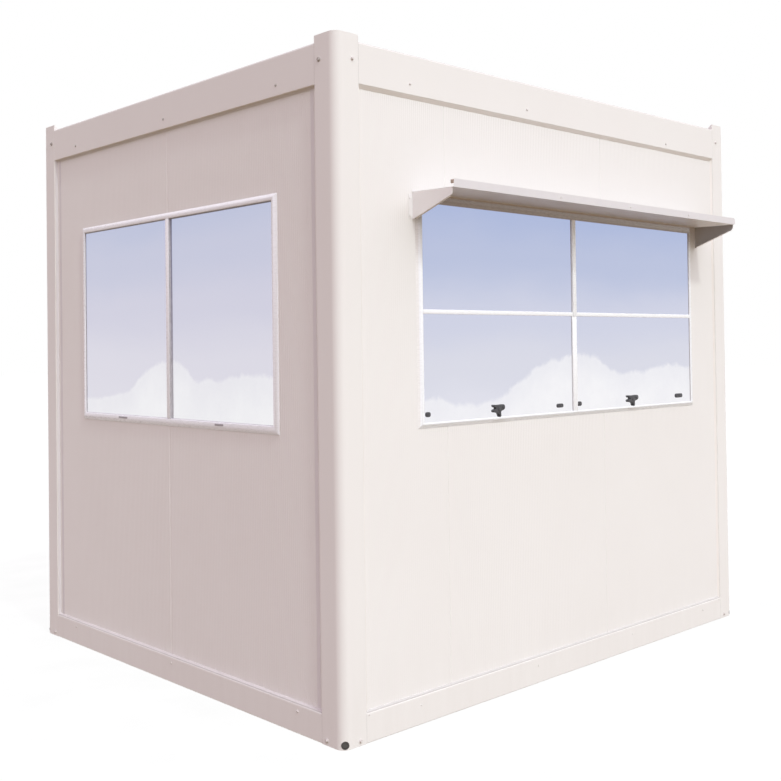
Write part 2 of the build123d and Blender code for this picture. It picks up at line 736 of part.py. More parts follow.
# gussets under its ends, each with a lug turned outwards on the wall
with BuildPart() as awning_gusset_left:
    with BuildSketch(Plane.YZ.offset(aw_x0)) as gusset_shape:
        with BuildLine():
            Polyline(
                (-out_y, aw_wall_z),
                (gus_y, aw_front_z),
                (gus_y, gus_front),
                (-out_y, gus_low),
                close=True,
            )
        make_face()
        fillet(gusset_shape.vertices().group_by(Axis.X)[0].sort_by(Axis.Y)[0], 3)
    extrude(amount=aw_t)
    with BuildSketch(Plane.YZ.offset(aw_x0)) as turn_shape:
        with BuildLine():
            Polyline(
                (turn_y0, turn_z0),
                (turn_y1, turn_z1),
                (turn_y1, turn_z1 + aw_t),
                (turn_y0, turn_z0 + aw_t),
                close=True,
            )
        make_face()
    extrude(amount=gus_turn)
    with BuildSketch(Plane.XZ.offset(out_y)) as lug_shape:
        with BuildLine():
            Polyline(
                (aw_x0 - 21, gus_low + 5),
                (aw_x0 + 0.5, gus_low + 5),
                (aw_x0 + 0.5, aw_wall_z - 8),
                (aw_x0 - 21, aw_wall_z - 8),
                close=True,
            )
        make_face()
    extrude(amount=aw_t)
awning_gusset_left.part.label = "awning_gusset_left"
export_step(awning_gusset_left.part, "parts/awning_gusset_left.step")

with BuildPart() as awning_gusset_right:
    with BuildSketch(Plane.YZ.offset(gus_right)) as gusset_r_shape:
        with BuildLine():
            Polyline(
                (-out_y, aw_wall_z),
                (gus_y, aw_front_z),
                (gus_y, gus_front),
                (-out_y, gus_low),
                close=True,
            )
        make_face()
        fillet(gusset_r_shape.vertices().group_by(Axis.X)[0].sort_by(Axis.Y)[0], 25)
    extrude(amount=-aw_t)
    with BuildSketch(Plane.YZ.offset(gus_right)) as turn_r_shape:
        with BuildLine():
            Polyline(
                (turn_y0, turn_z0),
                (turn_y1, turn_z1),
                (turn_y1, turn_z1 + aw_t),
                (turn_y0, turn_z0 + aw_t),
                close=True,
            )
        make_face()
    extrude(amount=-gus_turn)
    with BuildSketch(Plane.XZ.offset(out_y)) as lug_r_shape:
        with BuildLine():
            Polyline(
                (gus_right - 0.5, gus_low + 5),
                (gus_right + 21, gus_low + 5),
                (gus_right + 21, aw_wall_z - 8),
                (gus_right - 0.5, aw_wall_z - 8),
                close=True,
            )
        make_face()
    extrude(amount=aw_t)
awning_gusset_right.part.label = "awning_gusset_right"
export_step(awning_gusset_right.part, "parts/awning_gusset_right.step")
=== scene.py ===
import math
import random

import bmesh
import bpy
from mathutils import Matrix, Vector


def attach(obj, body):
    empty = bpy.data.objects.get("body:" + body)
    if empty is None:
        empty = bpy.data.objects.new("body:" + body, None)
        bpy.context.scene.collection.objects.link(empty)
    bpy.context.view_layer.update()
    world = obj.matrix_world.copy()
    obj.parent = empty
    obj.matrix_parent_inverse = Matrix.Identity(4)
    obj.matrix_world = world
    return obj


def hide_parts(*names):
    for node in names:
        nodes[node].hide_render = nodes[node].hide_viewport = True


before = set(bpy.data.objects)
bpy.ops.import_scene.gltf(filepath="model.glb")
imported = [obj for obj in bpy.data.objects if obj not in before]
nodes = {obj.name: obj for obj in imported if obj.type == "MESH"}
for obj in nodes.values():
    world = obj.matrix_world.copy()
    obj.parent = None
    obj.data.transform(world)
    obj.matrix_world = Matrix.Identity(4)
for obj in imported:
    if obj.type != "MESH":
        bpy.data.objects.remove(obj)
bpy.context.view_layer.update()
random.seed(7)

MM = 0.001

# --------------------------------------------------------------------------
# Sizes repeated from the part, in millimetres
# --------------------------------------------------------------------------
HX, HY = 1495.0, 1219.0
PANEL_T = 40.0
OUT_X, OUT_Y = HX - 17.0, HY - 12.0
CLEAR_X, CLEAR_Y = HX - 127.0, HY - 125.0
BASE_HIGH, BEAM_LOW, BEAM_TOP, POST_TOP = 120.0, 2594.0, 2763.0, 2789.5
BEAM_SET = 0.8
PROUD = 10.0
COVER = 12.0
SEAM_1, SEAM_2, SEAM_SIDE = -865.0, 285.0, 0.0
FW = dict(x0=-1047.0, x1=1128.0, z0=1211.0, z1=2187.0, left=32.0, right=30.0, bottom=23.0, head=33.0)
MULL, MULL_A = (26.0, 54.0), (22.0, 56.0)
TRANS = (1689.0, 1708.0)
PANE_OUT = 3.0
SW = dict(y0=-829.5, y1=808.5, z0=1193.0, z1=2198.0, near=32.0, far=26.0, bottom=36.0, head=28.0)
SMULL = (-22.0, 5.5)
AW_X0, AW_X1, GUS_RIGHT = -1064.0, 1190.0, 1187.0
AW_Y, AW_WALL_Z, AW_FRONT_Z, AW_LIP = -HY - 222.0, 2193.0, 2188.5, 34.0
DR = dict(x0=-294.0, x1=646.0, z1=2211.0, frame=40.0)


# --------------------------------------------------------------------------
# Camera
# --------------------------------------------------------------------------
def make_camera():
    yaw, pitch, roll = 0.7341, 0.0157, -0.0124
    fwd = Vector((math.sin(yaw) * math.cos(pitch), math.cos(yaw) * math.cos(pitch), math.sin(pitch)))
    right = Vector((math.cos(yaw), -math.sin(yaw), 0.0))
    up = right.cross(fwd)
    r2 = right * math.cos(roll) + up * math.sin(roll)
    u2 = up * math.cos(roll) - right * math.sin(roll)
    m = Matrix((
        (r2.x, u2.x, -fwd.x, -4.2531),
        (r2.y, u2.y, -fwd.y, -4.2982),
        (r2.z, u2.z, -fwd.z, 1.5568),
        (0, 0, 0, 1),
    ))
    data = bpy.data.cameras.new("camera")
    data.sensor_fit = "HORIZONTAL"
    data.sensor_width = 36.0
    data.lens = 1070.824 * 36.0 / 781.0
    data.shift_x = (390.5 - 342.01) / 781.0
    data.shift_y = (329.75 - 390.5) / 781.0
    data.clip_end = 200.0
    data.dof.use_dof = False
    cam = bpy.data.objects.new("camera", data)
    bpy.context.scene.collection.objects.link(cam)
    cam.matrix_world = m
    bpy.context.scene.camera = cam


make_camera()


# --------------------------------------------------------------------------
# Node helpers for the materials
# --------------------------------------------------------------------------
def new_mat(name):
    mat = bpy.data.materials.new(name)
    mat.use_nodes = True
    nt = mat.node_tree
    nt.nodes.clear()
    out = nt.nodes.new("ShaderNodeOutputMaterial")
    bsdf = nt.nodes.new("ShaderNodeBsdfPrincipled")
    nt.links.new(bsdf.outputs[0], out.inputs[0])
    return mat, nt, bsdf


def node(nt, kind, **kw):
    n = nt.nodes.new(kind)
    for k, v in kw.items():
        setattr(n, k, v)
    return n


def mix_rgb(nt, fac, a, b, blend="MIX"):
    n = nt.nodes.new("ShaderNodeMix")
    n.data_type = "RGBA"
    n.blend_type = blend
    n.clamp_factor = True
    for value, sock in ((fac, n.inputs[0]), (a, n.inputs[6]), (b, n.inputs[7])):
        if isinstance(value, bpy.types.NodeSocket):
            nt.links.new(value, sock)
        elif isinstance(value, (tuple, list)):
            sock.default_value = (*value[:3], 1.0)
        else:
            sock.default_value = value
    return n.outputs[2]


def math_node(nt, op, a, b=0.0, c=0.0, clamp=False):
    n = nt.nodes.new("ShaderNodeMath")
    n.operation = op
    n.use_clamp = clamp
    for value, sock in zip((a, b, c), n.inputs):
        if isinstance(value, bpy.types.NodeSocket):
            nt.links.new(value, sock)
        else:
            sock.default_value = value
    return n.outputs[0]


def map_range(nt, value, a, b, c, d, smooth=False):
    n = nt.nodes.new("ShaderNodeMapRange")
    n.interpolation_type = "SMOOTHSTEP" if smooth else "LINEAR"
    nt.links.new(value, n.inputs[0])
    for sock, v in zip(n.inputs[1:5], (a, b, c, d)):
        if isinstance(v, bpy.types.NodeSocket):
            nt.links.new(v, sock)
        else:
            sock.default_value = v
    return n.outputs[0]


def coords(nt):
    return nt.nodes.new("ShaderNodeTexCoord").outputs["Object"]


def noise(nt, vec, scale, detail=3.0, rough=0.5, out=0):
    n = nt.nodes.new("ShaderNodeTexNoise")
    n.inputs["Scale"].default_value = scale
    n.inputs["Detail"].default_value = detail
    n.inputs["Roughness"].default_value = rough
    nt.links.new(vec, n.inputs["Vector"])
    return n.outputs[out]


def stretch(nt, vec, scale):
    n = nt.nodes.new("ShaderNodeMapping")
    n.inputs["Scale"].default_value = scale
    nt.links.new(vec, n.inputs["Vector"])
    return n.outputs[0]


def bump(nt, bsdf, height, strength, distance):
    n = nt.nodes.new("ShaderNodeBump")
    n.inputs["Strength"].default_value = strength
    n.inputs["Distance"].default_value = distance
    nt.links.new(height, n.inputs["Height"])
    nt.links.new(n.outputs[0], bsdf.inputs["Normal"])


def paint(name, light, dark, rough=0.42, peel=0.10, grime=0.05, top=(0.40, 0.37, 0.35), spec=0.25, lip=0.0, top_dust_and_shade=0.94, awning_corner_shade=0.0, underside_painted_light=None, inner=None):
    """Sprayed or coil-coated sheet: faint cloudy tone, orange peel, a little dust low down."""
    mat, nt, b = new_mat(name)
    co = coords(nt)
    tone = noise(nt, co, 1.7, 4.0, 0.55)
    tone = map_range(nt, tone, 0.3, 0.7, 0.0, 1.0)
    base = mix_rgb(nt, tone, light, dark)
    # dust: streaky, stronger towards the ground
    sep = nt.nodes.new("ShaderNodeSeparateXYZ")
    nt.links.new(co, sep.inputs[0])
    low = map_range(nt, sep.outputs[2], 0.0, 0.55, 1.0, 0.0, True)
    streak = noise(nt, stretch(nt, co, (9.0, 9.0, 1.1)), 2.0, 4.0, 0.6)
    streak = map_range(nt, streak, 0.35, 0.75, 0.25, 1.0)
    dust = math_node(nt, "MULTIPLY", math_node(nt, "MULTIPLY", low, streak), grime, clamp=True)
    base = mix_rgb(nt, dust, base, (0.42, 0.36, 0.30))
    # settled dust on what faces up; set high on the frame, where it is partly painted shade darkening the lit tops of
    # the beam folds
    nrm = nt.nodes.new("ShaderNodeSeparateXYZ")
    nt.links.new(nt.nodes.new("ShaderNodeNewGeometry").outputs["Normal"], nrm.inputs[0])
    flat = map_range(nt, nrm.outputs[2], 0.35, 0.85, 0.0, 1.0, True)
    specks = map_range(nt, noise(nt, co, 55.0, 4.0, 0.6), 0.3, 0.7, 0.82, 1.0)
    settled = mix_rgb(nt, specks, (0.30, 0.27, 0.24), top)
    base = mix_rgb(nt, math_node(nt, "MULTIPLY", flat, top_dust_and_shade), base, settled)
    if underside_painted_light:
        # painted light: faces that look down get a paler colour, lifting the shade under the awning
        down = map_range(nt, nrm.outputs[2], -0.95, -0.70, 1.0, 0.0, True)
        base = mix_rgb(nt, down, base, mix_rgb(nt, tone, underside_painted_light, tuple(0.98 * v for v in underside_painted_light)))
    if inner:
        # painted shade: the side turned to the window is darkened, standing in for the shade inside the awning
        west = map_range(nt, nrm.outputs[0], -0.90, -0.60, 1.0, 0.0, True)
        base = mix_rgb(nt, west, base, mix_rgb(nt, tone, inner, tuple(0.95 * v for v in inner)))
    if awning_corner_shade:
        # painted shade: brown on the front, up in the corner under the awning, standing in for the awning's shade
        x0 = map_range(nt, sep.outputs[0], -1.06, -1.04, 0.0, 1.0, True)
        x1 = map_range(nt, sep.outputs[0], 1.180, 1.190, 1.0, 0.0, True)
        z0 = map_range(nt, sep.outputs[2], 2.06, 2.15, 0.0, 1.0, True)
        z1 = map_range(nt, sep.outputs[2], 2.190, 2.196, 1.0, 0.0)
        near = map_range(nt, sep.outputs[1], -1.19, -1.18, 1.0, 0.0)
        box = math_node(nt, "MULTIPLY", math_node(nt, "MULTIPLY", x0, x1), math_node(nt, "MULTIPLY", z0, z1))
        base = mix_rgb(nt, math_node(nt, "MULTIPLY", math_node(nt, "MULTIPLY", box, near), awning_corner_shade), base, (0.42, 0.33, 0.27))
    if lip:
        # a greyer, streaked tone on the faces turned to the front, at the lip
        front = map_range(nt, nrm.outputs[1], -0.95, -0.60, 1.0, 0.0, True)
        front = math_node(nt, "MULTIPLY", front, map_range(nt, sep.outputs[1], -1.41, -1.40, 1.0, 0.0))
        streaks = map_range(nt, noise(nt, stretch(nt, co, (7.0, 1.0, 1.5)), 2.0, 4.0, 0.6), 0.3, 0.7, 0.85, 1.0)
        lip_grey = math_node(nt, "MULTIPLY", front, streaks)
        base = mix_rgb(nt, math_node(nt, "MULTIPLY", lip_grey, lip), base, (0.42, 0.37, 0.42))
    nt.links.new(base, b.inputs["Base Color"])
    r = noise(nt, co, 26.0, 3.0, 0.6)
    nt.links.new(map_range(nt, r, 0.3, 0.7, rough - 0.05, rough + 0.07), b.inputs["Roughness"])
    b.inputs["Specular IOR Level"].default_value = spec
    fine = noise(nt, co, 420.0, 2.0, 0.5)
    bump(nt, b, fine, peel, 0.0004)
    return mat


WALL_LIGHT = (0.870, 0.842, 0.818)
WALL_DARK = (0.855, 0.825, 0.800)

# the wall panels carry painted shade up in the corner under the awning
mat_panel = paint("panel_coating", WALL_LIGHT, WALL_DARK, rough=0.46, peel=0.06, grime=0.05, top_dust_and_shade=0.2, awning_corner_shade=0.6)
# the frame's dark up-facing folds are partly settled dust, partly painted shade on their lit tops
mat_frame = paint("frame_powder_coat", (0.865, 0.838, 0.812), (0.852, 0.820, 0.794), rough=0.40, peel=0.12, grime=0.07, top_dust_and_shade=0.80)
# the awning's paler underside colour is painted light, lifting its shade
mat_awning = paint("awning_powder_coat", (0.885, 0.862, 0.855), (0.870, 0.845, 0.836), rough=0.40, peel=0.12, grime=0.0, spec=0.14, lip=0.28, underside_painted_light=(0.995, 0.965, 0.93))
# the far gusset's dark inner face is painted shade
mat_gusset_far = paint("awning_powder_coat_shaded", (0.885, 0.862, 0.855), (0.870, 0.845, 0.836), rough=0.40, peel=0.12, grime=0.0, spec=0.03, lip=0.28, inner=(0.560, 0.550, 0.560))
mat_door = paint("door_coating", (0.830, 0.806, 0.782), (0.815, 0.788, 0.762), rough=0.36, peel=0.10, grime=0.06)
mat_fixing = paint("fixing_dull_zinc", (0.50, 0.46, 0.43), (0.40, 0.37, 0.35), rough=0.50, peel=0.2, grime=0.0)
mat_fixing_pale = paint("fixing_painted_over", (0.76, 0.71, 0.69), (0.68, 0.64, 0.62), rough=0.50, peel=0.2, grime=0.0, top_dust_and_shade=0.3)
# pale pinkish sealant, lighter than the wall: partly the sealant's colour, partly painted light lifting the shade
# line under the top beam
mat_bead_painted_light = paint("joint_sealant_pale", (0.930, 0.885, 0.850), (0.910, 0.860, 0.820), rough=0.50, peel=0.15, grime=0.03, top_dust_and_shade=0.0)
# ledge sealants: grey tones darkened to offset the light on these up-facing ledges, painted shade, with front and
# sides given different tones
mat_ledge_painted_shade = paint("ledge_sealant", (0.600, 0.578, 0.560), (0.575, 0.552, 0.534), rough=0.55, peel=0.15, grime=0.03, top_dust_and_shade=0.0)
mat_side_ledge_painted_shade = paint("ledge_sealant_side", (0.665, 0.632, 0.622), (0.635, 0.602, 0.590), rough=0.55, peel=0.15, grime=0.03, top_dust_and_shade=0.0)
# grey sealant for the side walls: painted shade along the posts and under the beam
mat_bead_painted_shade = paint("joint_sealant_grey", (0.790, 0.755, 0.755), (0.755, 0.720, 0.722), rough=0.55, peel=0.15, grime=0.03, top_dust_and_shade=0.0)
mat_roof = paint("roof_coating", (0.640, 0.635, 0.625), (0.600, 0.592, 0.580), rough=0.50, peel=0.10, grime=0.0)


def white_profile(name, light, dark, bottom_darkening=0.0, head_painted_shade=0.0, spec=0.5):
    mat, nt, b = new_mat(name)
    co = coords(nt)
    tone = map_range(nt, noise(nt, co, 3.0, 3.0), 0.3, 0.7, 0.0, 1.0)
    base = mix_rgb(nt, tone, light, dark)
    sep = nt.nodes.new("ShaderNodeSeparateXYZ")
    nt.links.new(co, sep.inputs[0])
    # darker towards the bottom of the bottom rails, in patches
    low = map_range(nt, sep.outputs[2], 1.215, 1.262, 1.0, 0.0, True)
    patchy = map_range(nt, noise(nt, stretch(nt, co, (4.0, 4.0, 1.0)), 4.0, 4.0, 0.6), 0.3, 0.7, 0.8, 1.0)
    base = mix_rgb(nt, math_node(nt, "MULTIPLY", math_node(nt, "MULTIPLY", low, patchy), bottom_darkening), base, (0.45, 0.42, 0.44))
    # painted shade: the head rail turned brown under the awning, standing in for the awning's shade
    if head_painted_shade:
        high = map_range(nt, sep.outputs[2], 2.040, 2.152, 0.0, 1.0, True)
        base = mix_rgb(nt, math_node(nt, "MULTIPLY", high, head_painted_shade), base, (0.360, 0.275, 0.215))
        # the outer edge of the left jamb: painted over with the wall; below the awning bracket, a painted shadow of
        # the awning on the jamb
        edge = map_range(nt, sep.outputs[0], -1.0390, -1.0350, 0.0, 1.0)
        edge = math_node(nt, "SUBTRACT", 1.0, edge, clamp=True)
        base = mix_rgb(nt, math_node(nt, "MULTIPLY", edge, 0.75), base, (0.872, 0.842, 0.815))
        jamb_painted_shadow = math_node(nt, "MULTIPLY", map_range(nt, sep.outputs[2], 1.86, 2.06, 0.0, 1.0, True), map_range(nt, sep.outputs[0], -1.020, -1.012, 1.0, 0.0))
        base = mix_rgb(nt, math_node(nt, "MULTIPLY", jamb_painted_shadow, 0.42), base, (0.40, 0.33, 0.29))
    nt.links.new(base, b.inputs["Base Color"])
    r = noise(nt, stretch(nt, co, (3.0, 3.0, 40.0)), 14.0, 3.0)
    nt.links.new(map_range(nt, r, 0.3, 0.7, 0.24, 0.33), b.inputs["Roughness"])
    b.inputs["Specular IOR Level"].default_value = spec
    bump(nt, b, noise(nt, co, 260.0, 2.0), 0.05, 0.0003)
    return mat


mat_white = white_profile("white_profile", (0.930, 0.930, 0.942), (0.912, 0.912, 0.926), 0.22)
# the front frame carries painted shade: brown on the head rail, and a painted shadow on the top of the left jamb
mat_white_front = white_profile("white_profile_front", (0.966, 0.972, 0.998), (0.952, 0.958, 0.986), 0.0, 0.90, 0.8)
mat_white_side = white_profile("white_profile_side", (0.968, 0.970, 0.998), (0.952, 0.954, 0.988), 0.10, 0.0, 0.9)
# the bars get a paler white than the frame: painted light, lifting the awning's shade on the transom
mat_bars_painted_light = white_profile("white_bars_painted_light", (0.984, 0.985, 0.999), (0.970, 0.971, 0.990), 0.0, 0.0, 0.9)


def rubber(name, a, c, rough=0.6):
    mat, nt, b = new_mat(name)
    co = coords(nt)
    tone = map_range(nt, noise(nt, co, 60.0, 3.0), 0.3, 0.7, 0.0, 1.0)
    nt.links.new(mix_rgb(nt, tone, a, c), b.inputs["Base Color"])
    nt.links.new(map_range(nt, noise(nt, co, 200.0, 2.0), 0.3, 0.7, rough - 0.08, rough + 0.1), b.inputs["Roughness"])
    bump(nt, b, noise(nt, co, 900.0, 2.0), 0.15, 0.0003)
    return mat


mat_gasket = rubber("window_gasket", (0.370, 0.360, 0.395), (0.320, 0.310, 0.340))
mat_seal_pale = rubber("pale_glazing_seal", (0.60, 0.585, 0.61), (0.54, 0.525, 0.55))
mat_pile = rubber("grey_sliding_seal", (0.54, 0.515, 0.545), (0.46, 0.44, 0.465), rough=0.8)
mat_black = rubber("black_moulded", (0.072, 0.062, 0.058), (0.098, 0.086, 0.080), rough=0.45)
mat_latch = rubber("dark_grey_moulded", (0.050, 0.048, 0.053), (0.066, 0.063, 0.069), rough=0.42)
mat_plug = rubber("brown_plug", (0.47, 0.37, 0.30), (0.40, 0.315, 0.26), rough=0.55)
mat_bung = rubber("grey_bung", (0.092, 0.086, 0.080), (0.074, 0.069, 0.065), rough=0.7)
mat_slot_cap = rubber("slot_cap", (0.40, 0.375, 0.395), (0.34, 0.32, 0.335), rough=0.5)


def metal(name, a, c, rough, scratch=(1.0, 1.0, 1.0)):
    mat, nt, b = new_mat(name)
    co = coords(nt)
    tone = map_range(nt, noise(nt, stretch(nt, co, scratch), 60.0, 4.0, 0.6), 0.3, 0.7, 0.0, 1.0)
    nt.links.new(mix_rgb(nt, tone, a, c), b.inputs["Base Color"])
    nt.links.new(map_range(nt, tone, 0.0, 1.0, rough - 0.05, rough + 0.08), b.inputs["Roughness"])
    b.inputs["Metallic"].default_value = 1.0
    bump(nt, b, tone, 0.08, 0.0002)
    return mat


mat_zinc = metal("zinc_plate", (0.62, 0.60, 0.58), (0.50, 0.48, 0.46), 0.38)
mat_steel = metal("satin_steel", (0.66, 0.65, 0.64), (0.54, 0.53, 0.52), 0.30, (1.0, 1.0, 8.0))


def floor_vinyl():
    mat, nt, b = new_mat("floor_vinyl")
    co = coords(nt)
    speck = map_range(nt, noise(nt, co, 160.0, 3.0, 0.7), 0.45, 0.6, 0.0, 1.0)
    nt.links.new(mix_rgb(nt, speck, (0.36, 0.35, 0.34), (0.29, 0.285, 0.28)), b.inputs["Base Color"])
    nt.links.new(map_range(nt, noise(nt, co, 12.0, 3.0), 0.3, 0.7, 0.45, 0.6), b.inputs["Roughness"])
    bump(nt, b, speck, 0.1, 0.0003)
    return mat


mat_floor_board = floor_vinyl()


def glass_painted_sky_reflection(name, axis, low, high, outline, ramp, tone=1.0):
    """Reflective glass with a painted reflection. The sky and the bank of cloud it shows are painted into its colour,
    a gradient up the pane and an outline curve along it, broken up with noise, all in the object's own coordinates."""
    mat, nt, b = new_mat(name)
    co = coords(nt)
    sep = nt.nodes.new("ShaderNodeSeparateXYZ")
    nt.links.new(co, sep.inputs[0])
    along, z = sep.outputs[axis], sep.outputs[2]
    # painted reflection: blue above, paler towards the horizon
    t = map_range(nt, z, 1.20, 2.20, 0.0, 1.0)
    haze = noise(nt, stretch(nt, co, (0.8, 0.8, 2.2)), 2.0, 3.0, 0.5)
    t = math_node(nt, "ADD", t, math_node(nt, "MULTIPLY", math_node(nt, "SUBTRACT", haze, 0.5), 0.16), clamp=True)
    cr = nt.nodes.new("ShaderNodeValToRGB")
    cr.color_ramp.interpolation = "EASE"
    els = cr.color_ramp.elements
    els[0].position, els[0].color = ramp[0][0], (*ramp[0][1], 1)
    els[1].position, els[1].color = ramp[-1][0], (*ramp[-1][1], 1)
    for pos, col in ramp[1:-1]:
        e = els.new(pos)
        e.color = (*col, 1)
    nt.links.new(t, cr.inputs[0])
    # painted reflection: cloud bank
    s = map_range(nt, along, low, high, 0.0, 1.0)
    fc = nt.nodes.new("ShaderNodeFloatCurve")
    curve = fc.mapping.curves[0]
    pts = [((p - low) / (high - low), (h - 1.20) / 0.40) for p, h in outline]
    curve.points[0].location = pts[0]
    curve.points[1].location = pts[-1]
    for p in pts[1:-1]:
        curve.points.new(*p)
    fc.mapping.update()
    nt.links.new(s, fc.inputs[1])
    top = map_range(nt, fc.outputs[0], 0.0, 1.0, 1.20, 1.60)
    fluff = noise(nt, co, 9.0, 6.0, 0.62)
    fluff = math_node(nt, "MULTIPLY", math_node(nt, "SUBTRACT", fluff, 0.5), 0.085)
    edge = math_node(nt, "SUBTRACT", math_node(nt, "ADD", top, fluff), z)
    mask = map_range(nt, edge, -0.012, 0.016, 0.0, 1.0, True)
    # painted reflection: soft grey modelling inside the cloud
    inner = map_range(nt, noise(nt, co, 5.0, 5.0, 0.6), 0.35, 0.65, 0.0, 1.0)
    cloud = mix_rgb(nt, inner, (0.885 * tone, 0.878 * tone, 0.912 * tone), (0.925 * tone, 0.920 * tone, 0.942 * tone))
    veil = map_range(nt, edge, 0.0, 0.16, 0.72, 1.0, True)
    mask = math_node(nt, "MULTIPLY", mask, veil)
    nt.links.new(mix_rgb(nt, mask, cr.outputs[0], cloud), b.inputs["Base Color"])
    b.inputs["Metallic"].default_value = 1.0
    nt.links.new(map_range(nt, noise(nt, co, 3.0, 2.0), 0.3, 0.7, 0.07, 0.11), b.inputs["Roughness"])
    bump(nt, b, noise(nt, co, 1.6, 2.0), 0.05, 0.002)
    return mat


def lin(r, g, b_):
    def f(v):
        v /= 255.0
        return v / 12.92 if v <= 0.04045 else ((v + 0.055) / 1.055) ** 2.4
    return (f(r), f(g), f(b_))


mat_glass_front = glass_painted_sky_reflection(
    "front_glass", 0, -1.03, 1.13,
    [(-1.03, 1.325), (-0.93, 1.33), (-0.80, 1.300), (-0.60, 1.306), (-0.50, 1.330), (-0.40, 1.380), (-0.28, 1.432),
     (-0.08, 1.490), (0.17, 1.498), (0.30, 1.455), (0.38, 1.412), (0.62, 1.412), (0.92, 1.440), (1.13, 1.415)],
    [(0.0, lin(228, 228, 238)), (0.25, lin(218, 219, 231)), (0.48, lin(208, 211, 229)),
     (0.75, lin(187, 195, 222)), (1.0, lin(174, 186, 220))],
)
mat_glass_side = glass_painted_sky_reflection(
    "side_glass", 1, -0.83, 0.81,
    [(-0.83, 1.415), (-0.66, 1.440), (-0.50, 1.432), (-0.32, 1.412), (-0.21, 1.420), (-0.14, 1.478),
     (-0.03, 1.498), (0.10, 1.488), (0.24, 1.430), (0.36, 1.352), (0.56, 1.318), (0.81, 1.300)],
    [(0.0, lin(224, 222, 231)), (0.28, lin(220, 218, 229)), (0.55, lin(209, 208, 224)),
     (0.80, lin(199, 201, 221)), (1.0, lin(190, 195, 219))],
    0.95,
)


# --------------------------------------------------------------------------
# Mesh helpers. All take millimetres.
# --------------------------------------------------------------------------
def vec(x, y, z):
    return Vector((x * MM, y * MM, z * MM))


def finish_obj(name, bm, mat, smooth_deg=None, merge=True):
    if merge:
        bmesh.ops.remove_doubles(bm, verts=bm.verts, dist=1e-6)
    bmesh.ops.recalc_face_normals(bm, faces=bm.faces)
    me = bpy.data.meshes.new(name)
    bm.to_mesh(me)
    bm.free()
    ob = bpy.data.objects.new(name, me)
    bpy.context.scene.collection.objects.link(ob)
    me.materials.append(mat)
    if smooth_deg:
        me.shade_smooth()
        me.set_sharp_from_angle(angle=math.radians(smooth_deg))
    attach(ob, "root")
    return ob


def loft(bm, loops, close_ends=True, close_rings=False):
    """Quads between successive closed loops of points (already Vectors)."""
    rows = [[bm.verts.new(p) for p in loop] for loop in loops]
    n = len(rows[0])
    pairs = list(zip(rows, rows[1:]))
    if close_rings:
        pairs.append((rows[-1], rows[0]))
    for a, b in pairs:
        for i in range(n):
            j = (i + 1) % n
            bm.faces.new((a[i], a[j], b[j], b[i]))
    if close_ends and not close_rings:
        bm.faces.new(rows[0])
        bm.faces.new(list(reversed(rows[-1])))
    return rows


def on_wall(wall, s, o, z):
    """Point on a wall: s along it, o outwards from the panel face, z up."""
    if wall == "front":
        return vec(s, -OUT_Y - o, z)
    if wall == "rear":
        return vec(s, OUT_Y + o, z)
    if wall == "left":
        return vec(-OUT_X - o, s, z)
    return vec(OUT_X + o, s, z)


def box_mesh(bm, a, b, r=0.0, segs=2):
    """Box between two corners (mm), its edges rounded by r."""
    tmp = bmesh.new()
    bmesh.ops.create_cube(tmp, size=1.0)
    lo = [min(p, q) for p, q in zip(a, b)]
    hi = [max(p, q) for p, q in zip(a, b)]
    for v in tmp.verts:
        v.co = vec(*[lo[i] + (hi[i] - lo[i]) * (v.co[i] + 0.5) for i in range(3)])
    if r > 0:
        r = min(r, 0.45 * min(hi[i] - lo[i] for i in range(3)))
        bmesh.ops.bevel(tmp, geom=tmp.edges[:] , offset=r * MM, segments=segs, profile=0.5, affect="EDGES")
    me = bpy.data.meshes.new("tmp")
    tmp.to_mesh(me)
    tmp.free()
    bm.from_mesh(me)
    bpy.data.meshes.remove(me)


def wall_box(bm, wall, s0, s1, o0, o1, z0, z1, r=0.0, segs=2):
    p, q = on_wall(wall, s0, o0, z0) / MM, on_wall(wall, s1, o1, z1) / MM
    box_mesh(bm, tuple(p), tuple(q), r, segs)


def frame_axes(n):
    n = Vector(n).normalized()
    u = Vector((0, 0, 1)).cross(n)
    u = Vector((1, 0, 0)) if u.length < 1e-4 else u.normalized()
    return u, n.cross(u), n


def lathe(bm, centre, normal, profile, segs=24, phase=0.0):
    """Turned shape about the normal. profile is (radius, height) from the base to the tip, mm."""
    u, v, n = frame_axes(normal)
    c = vec(*centre)
    loops = []
    for r, h in profile:
        if r < 1e-6:
            r = 1e-3
        loops.append([
            c + (u * math.cos(phase + 2 * math.pi * k / segs) + v * math.sin(phase + 2 * math.pi * k / segs)) * r * MM + n * h * MM
            for k in range(segs)
        ])
    loft(bm, loops)


def mitred_ring(bm, wall, rect, widths, profile):
    """A frame swept round a rectangle with mitred corners. rect is (s0, s1, z0, z1); widths is (left, right,
    bottom, top); each profile point is (share of the width, mm added, mm outwards)."""
    s0, s1, z0, z1 = rect
    wl, wr, wb, wt = widths
    loops = []
    for k, c, o in profile:
        loops.append([
            on_wall(wall, s0 + k * wl + c, o, z0 + k * wb + c),
            on_wall(wall, s1 - k * wr - c, o, z0 + k * wb + c),
            on_wall(wall, s1 - k * wr - c, o, z1 - k * wt - c),
            on_wall(wall, s0 + k * wl + c, o, z1 - k * wt - c),
        ])
    loft(bm, loops, close_rings=True)


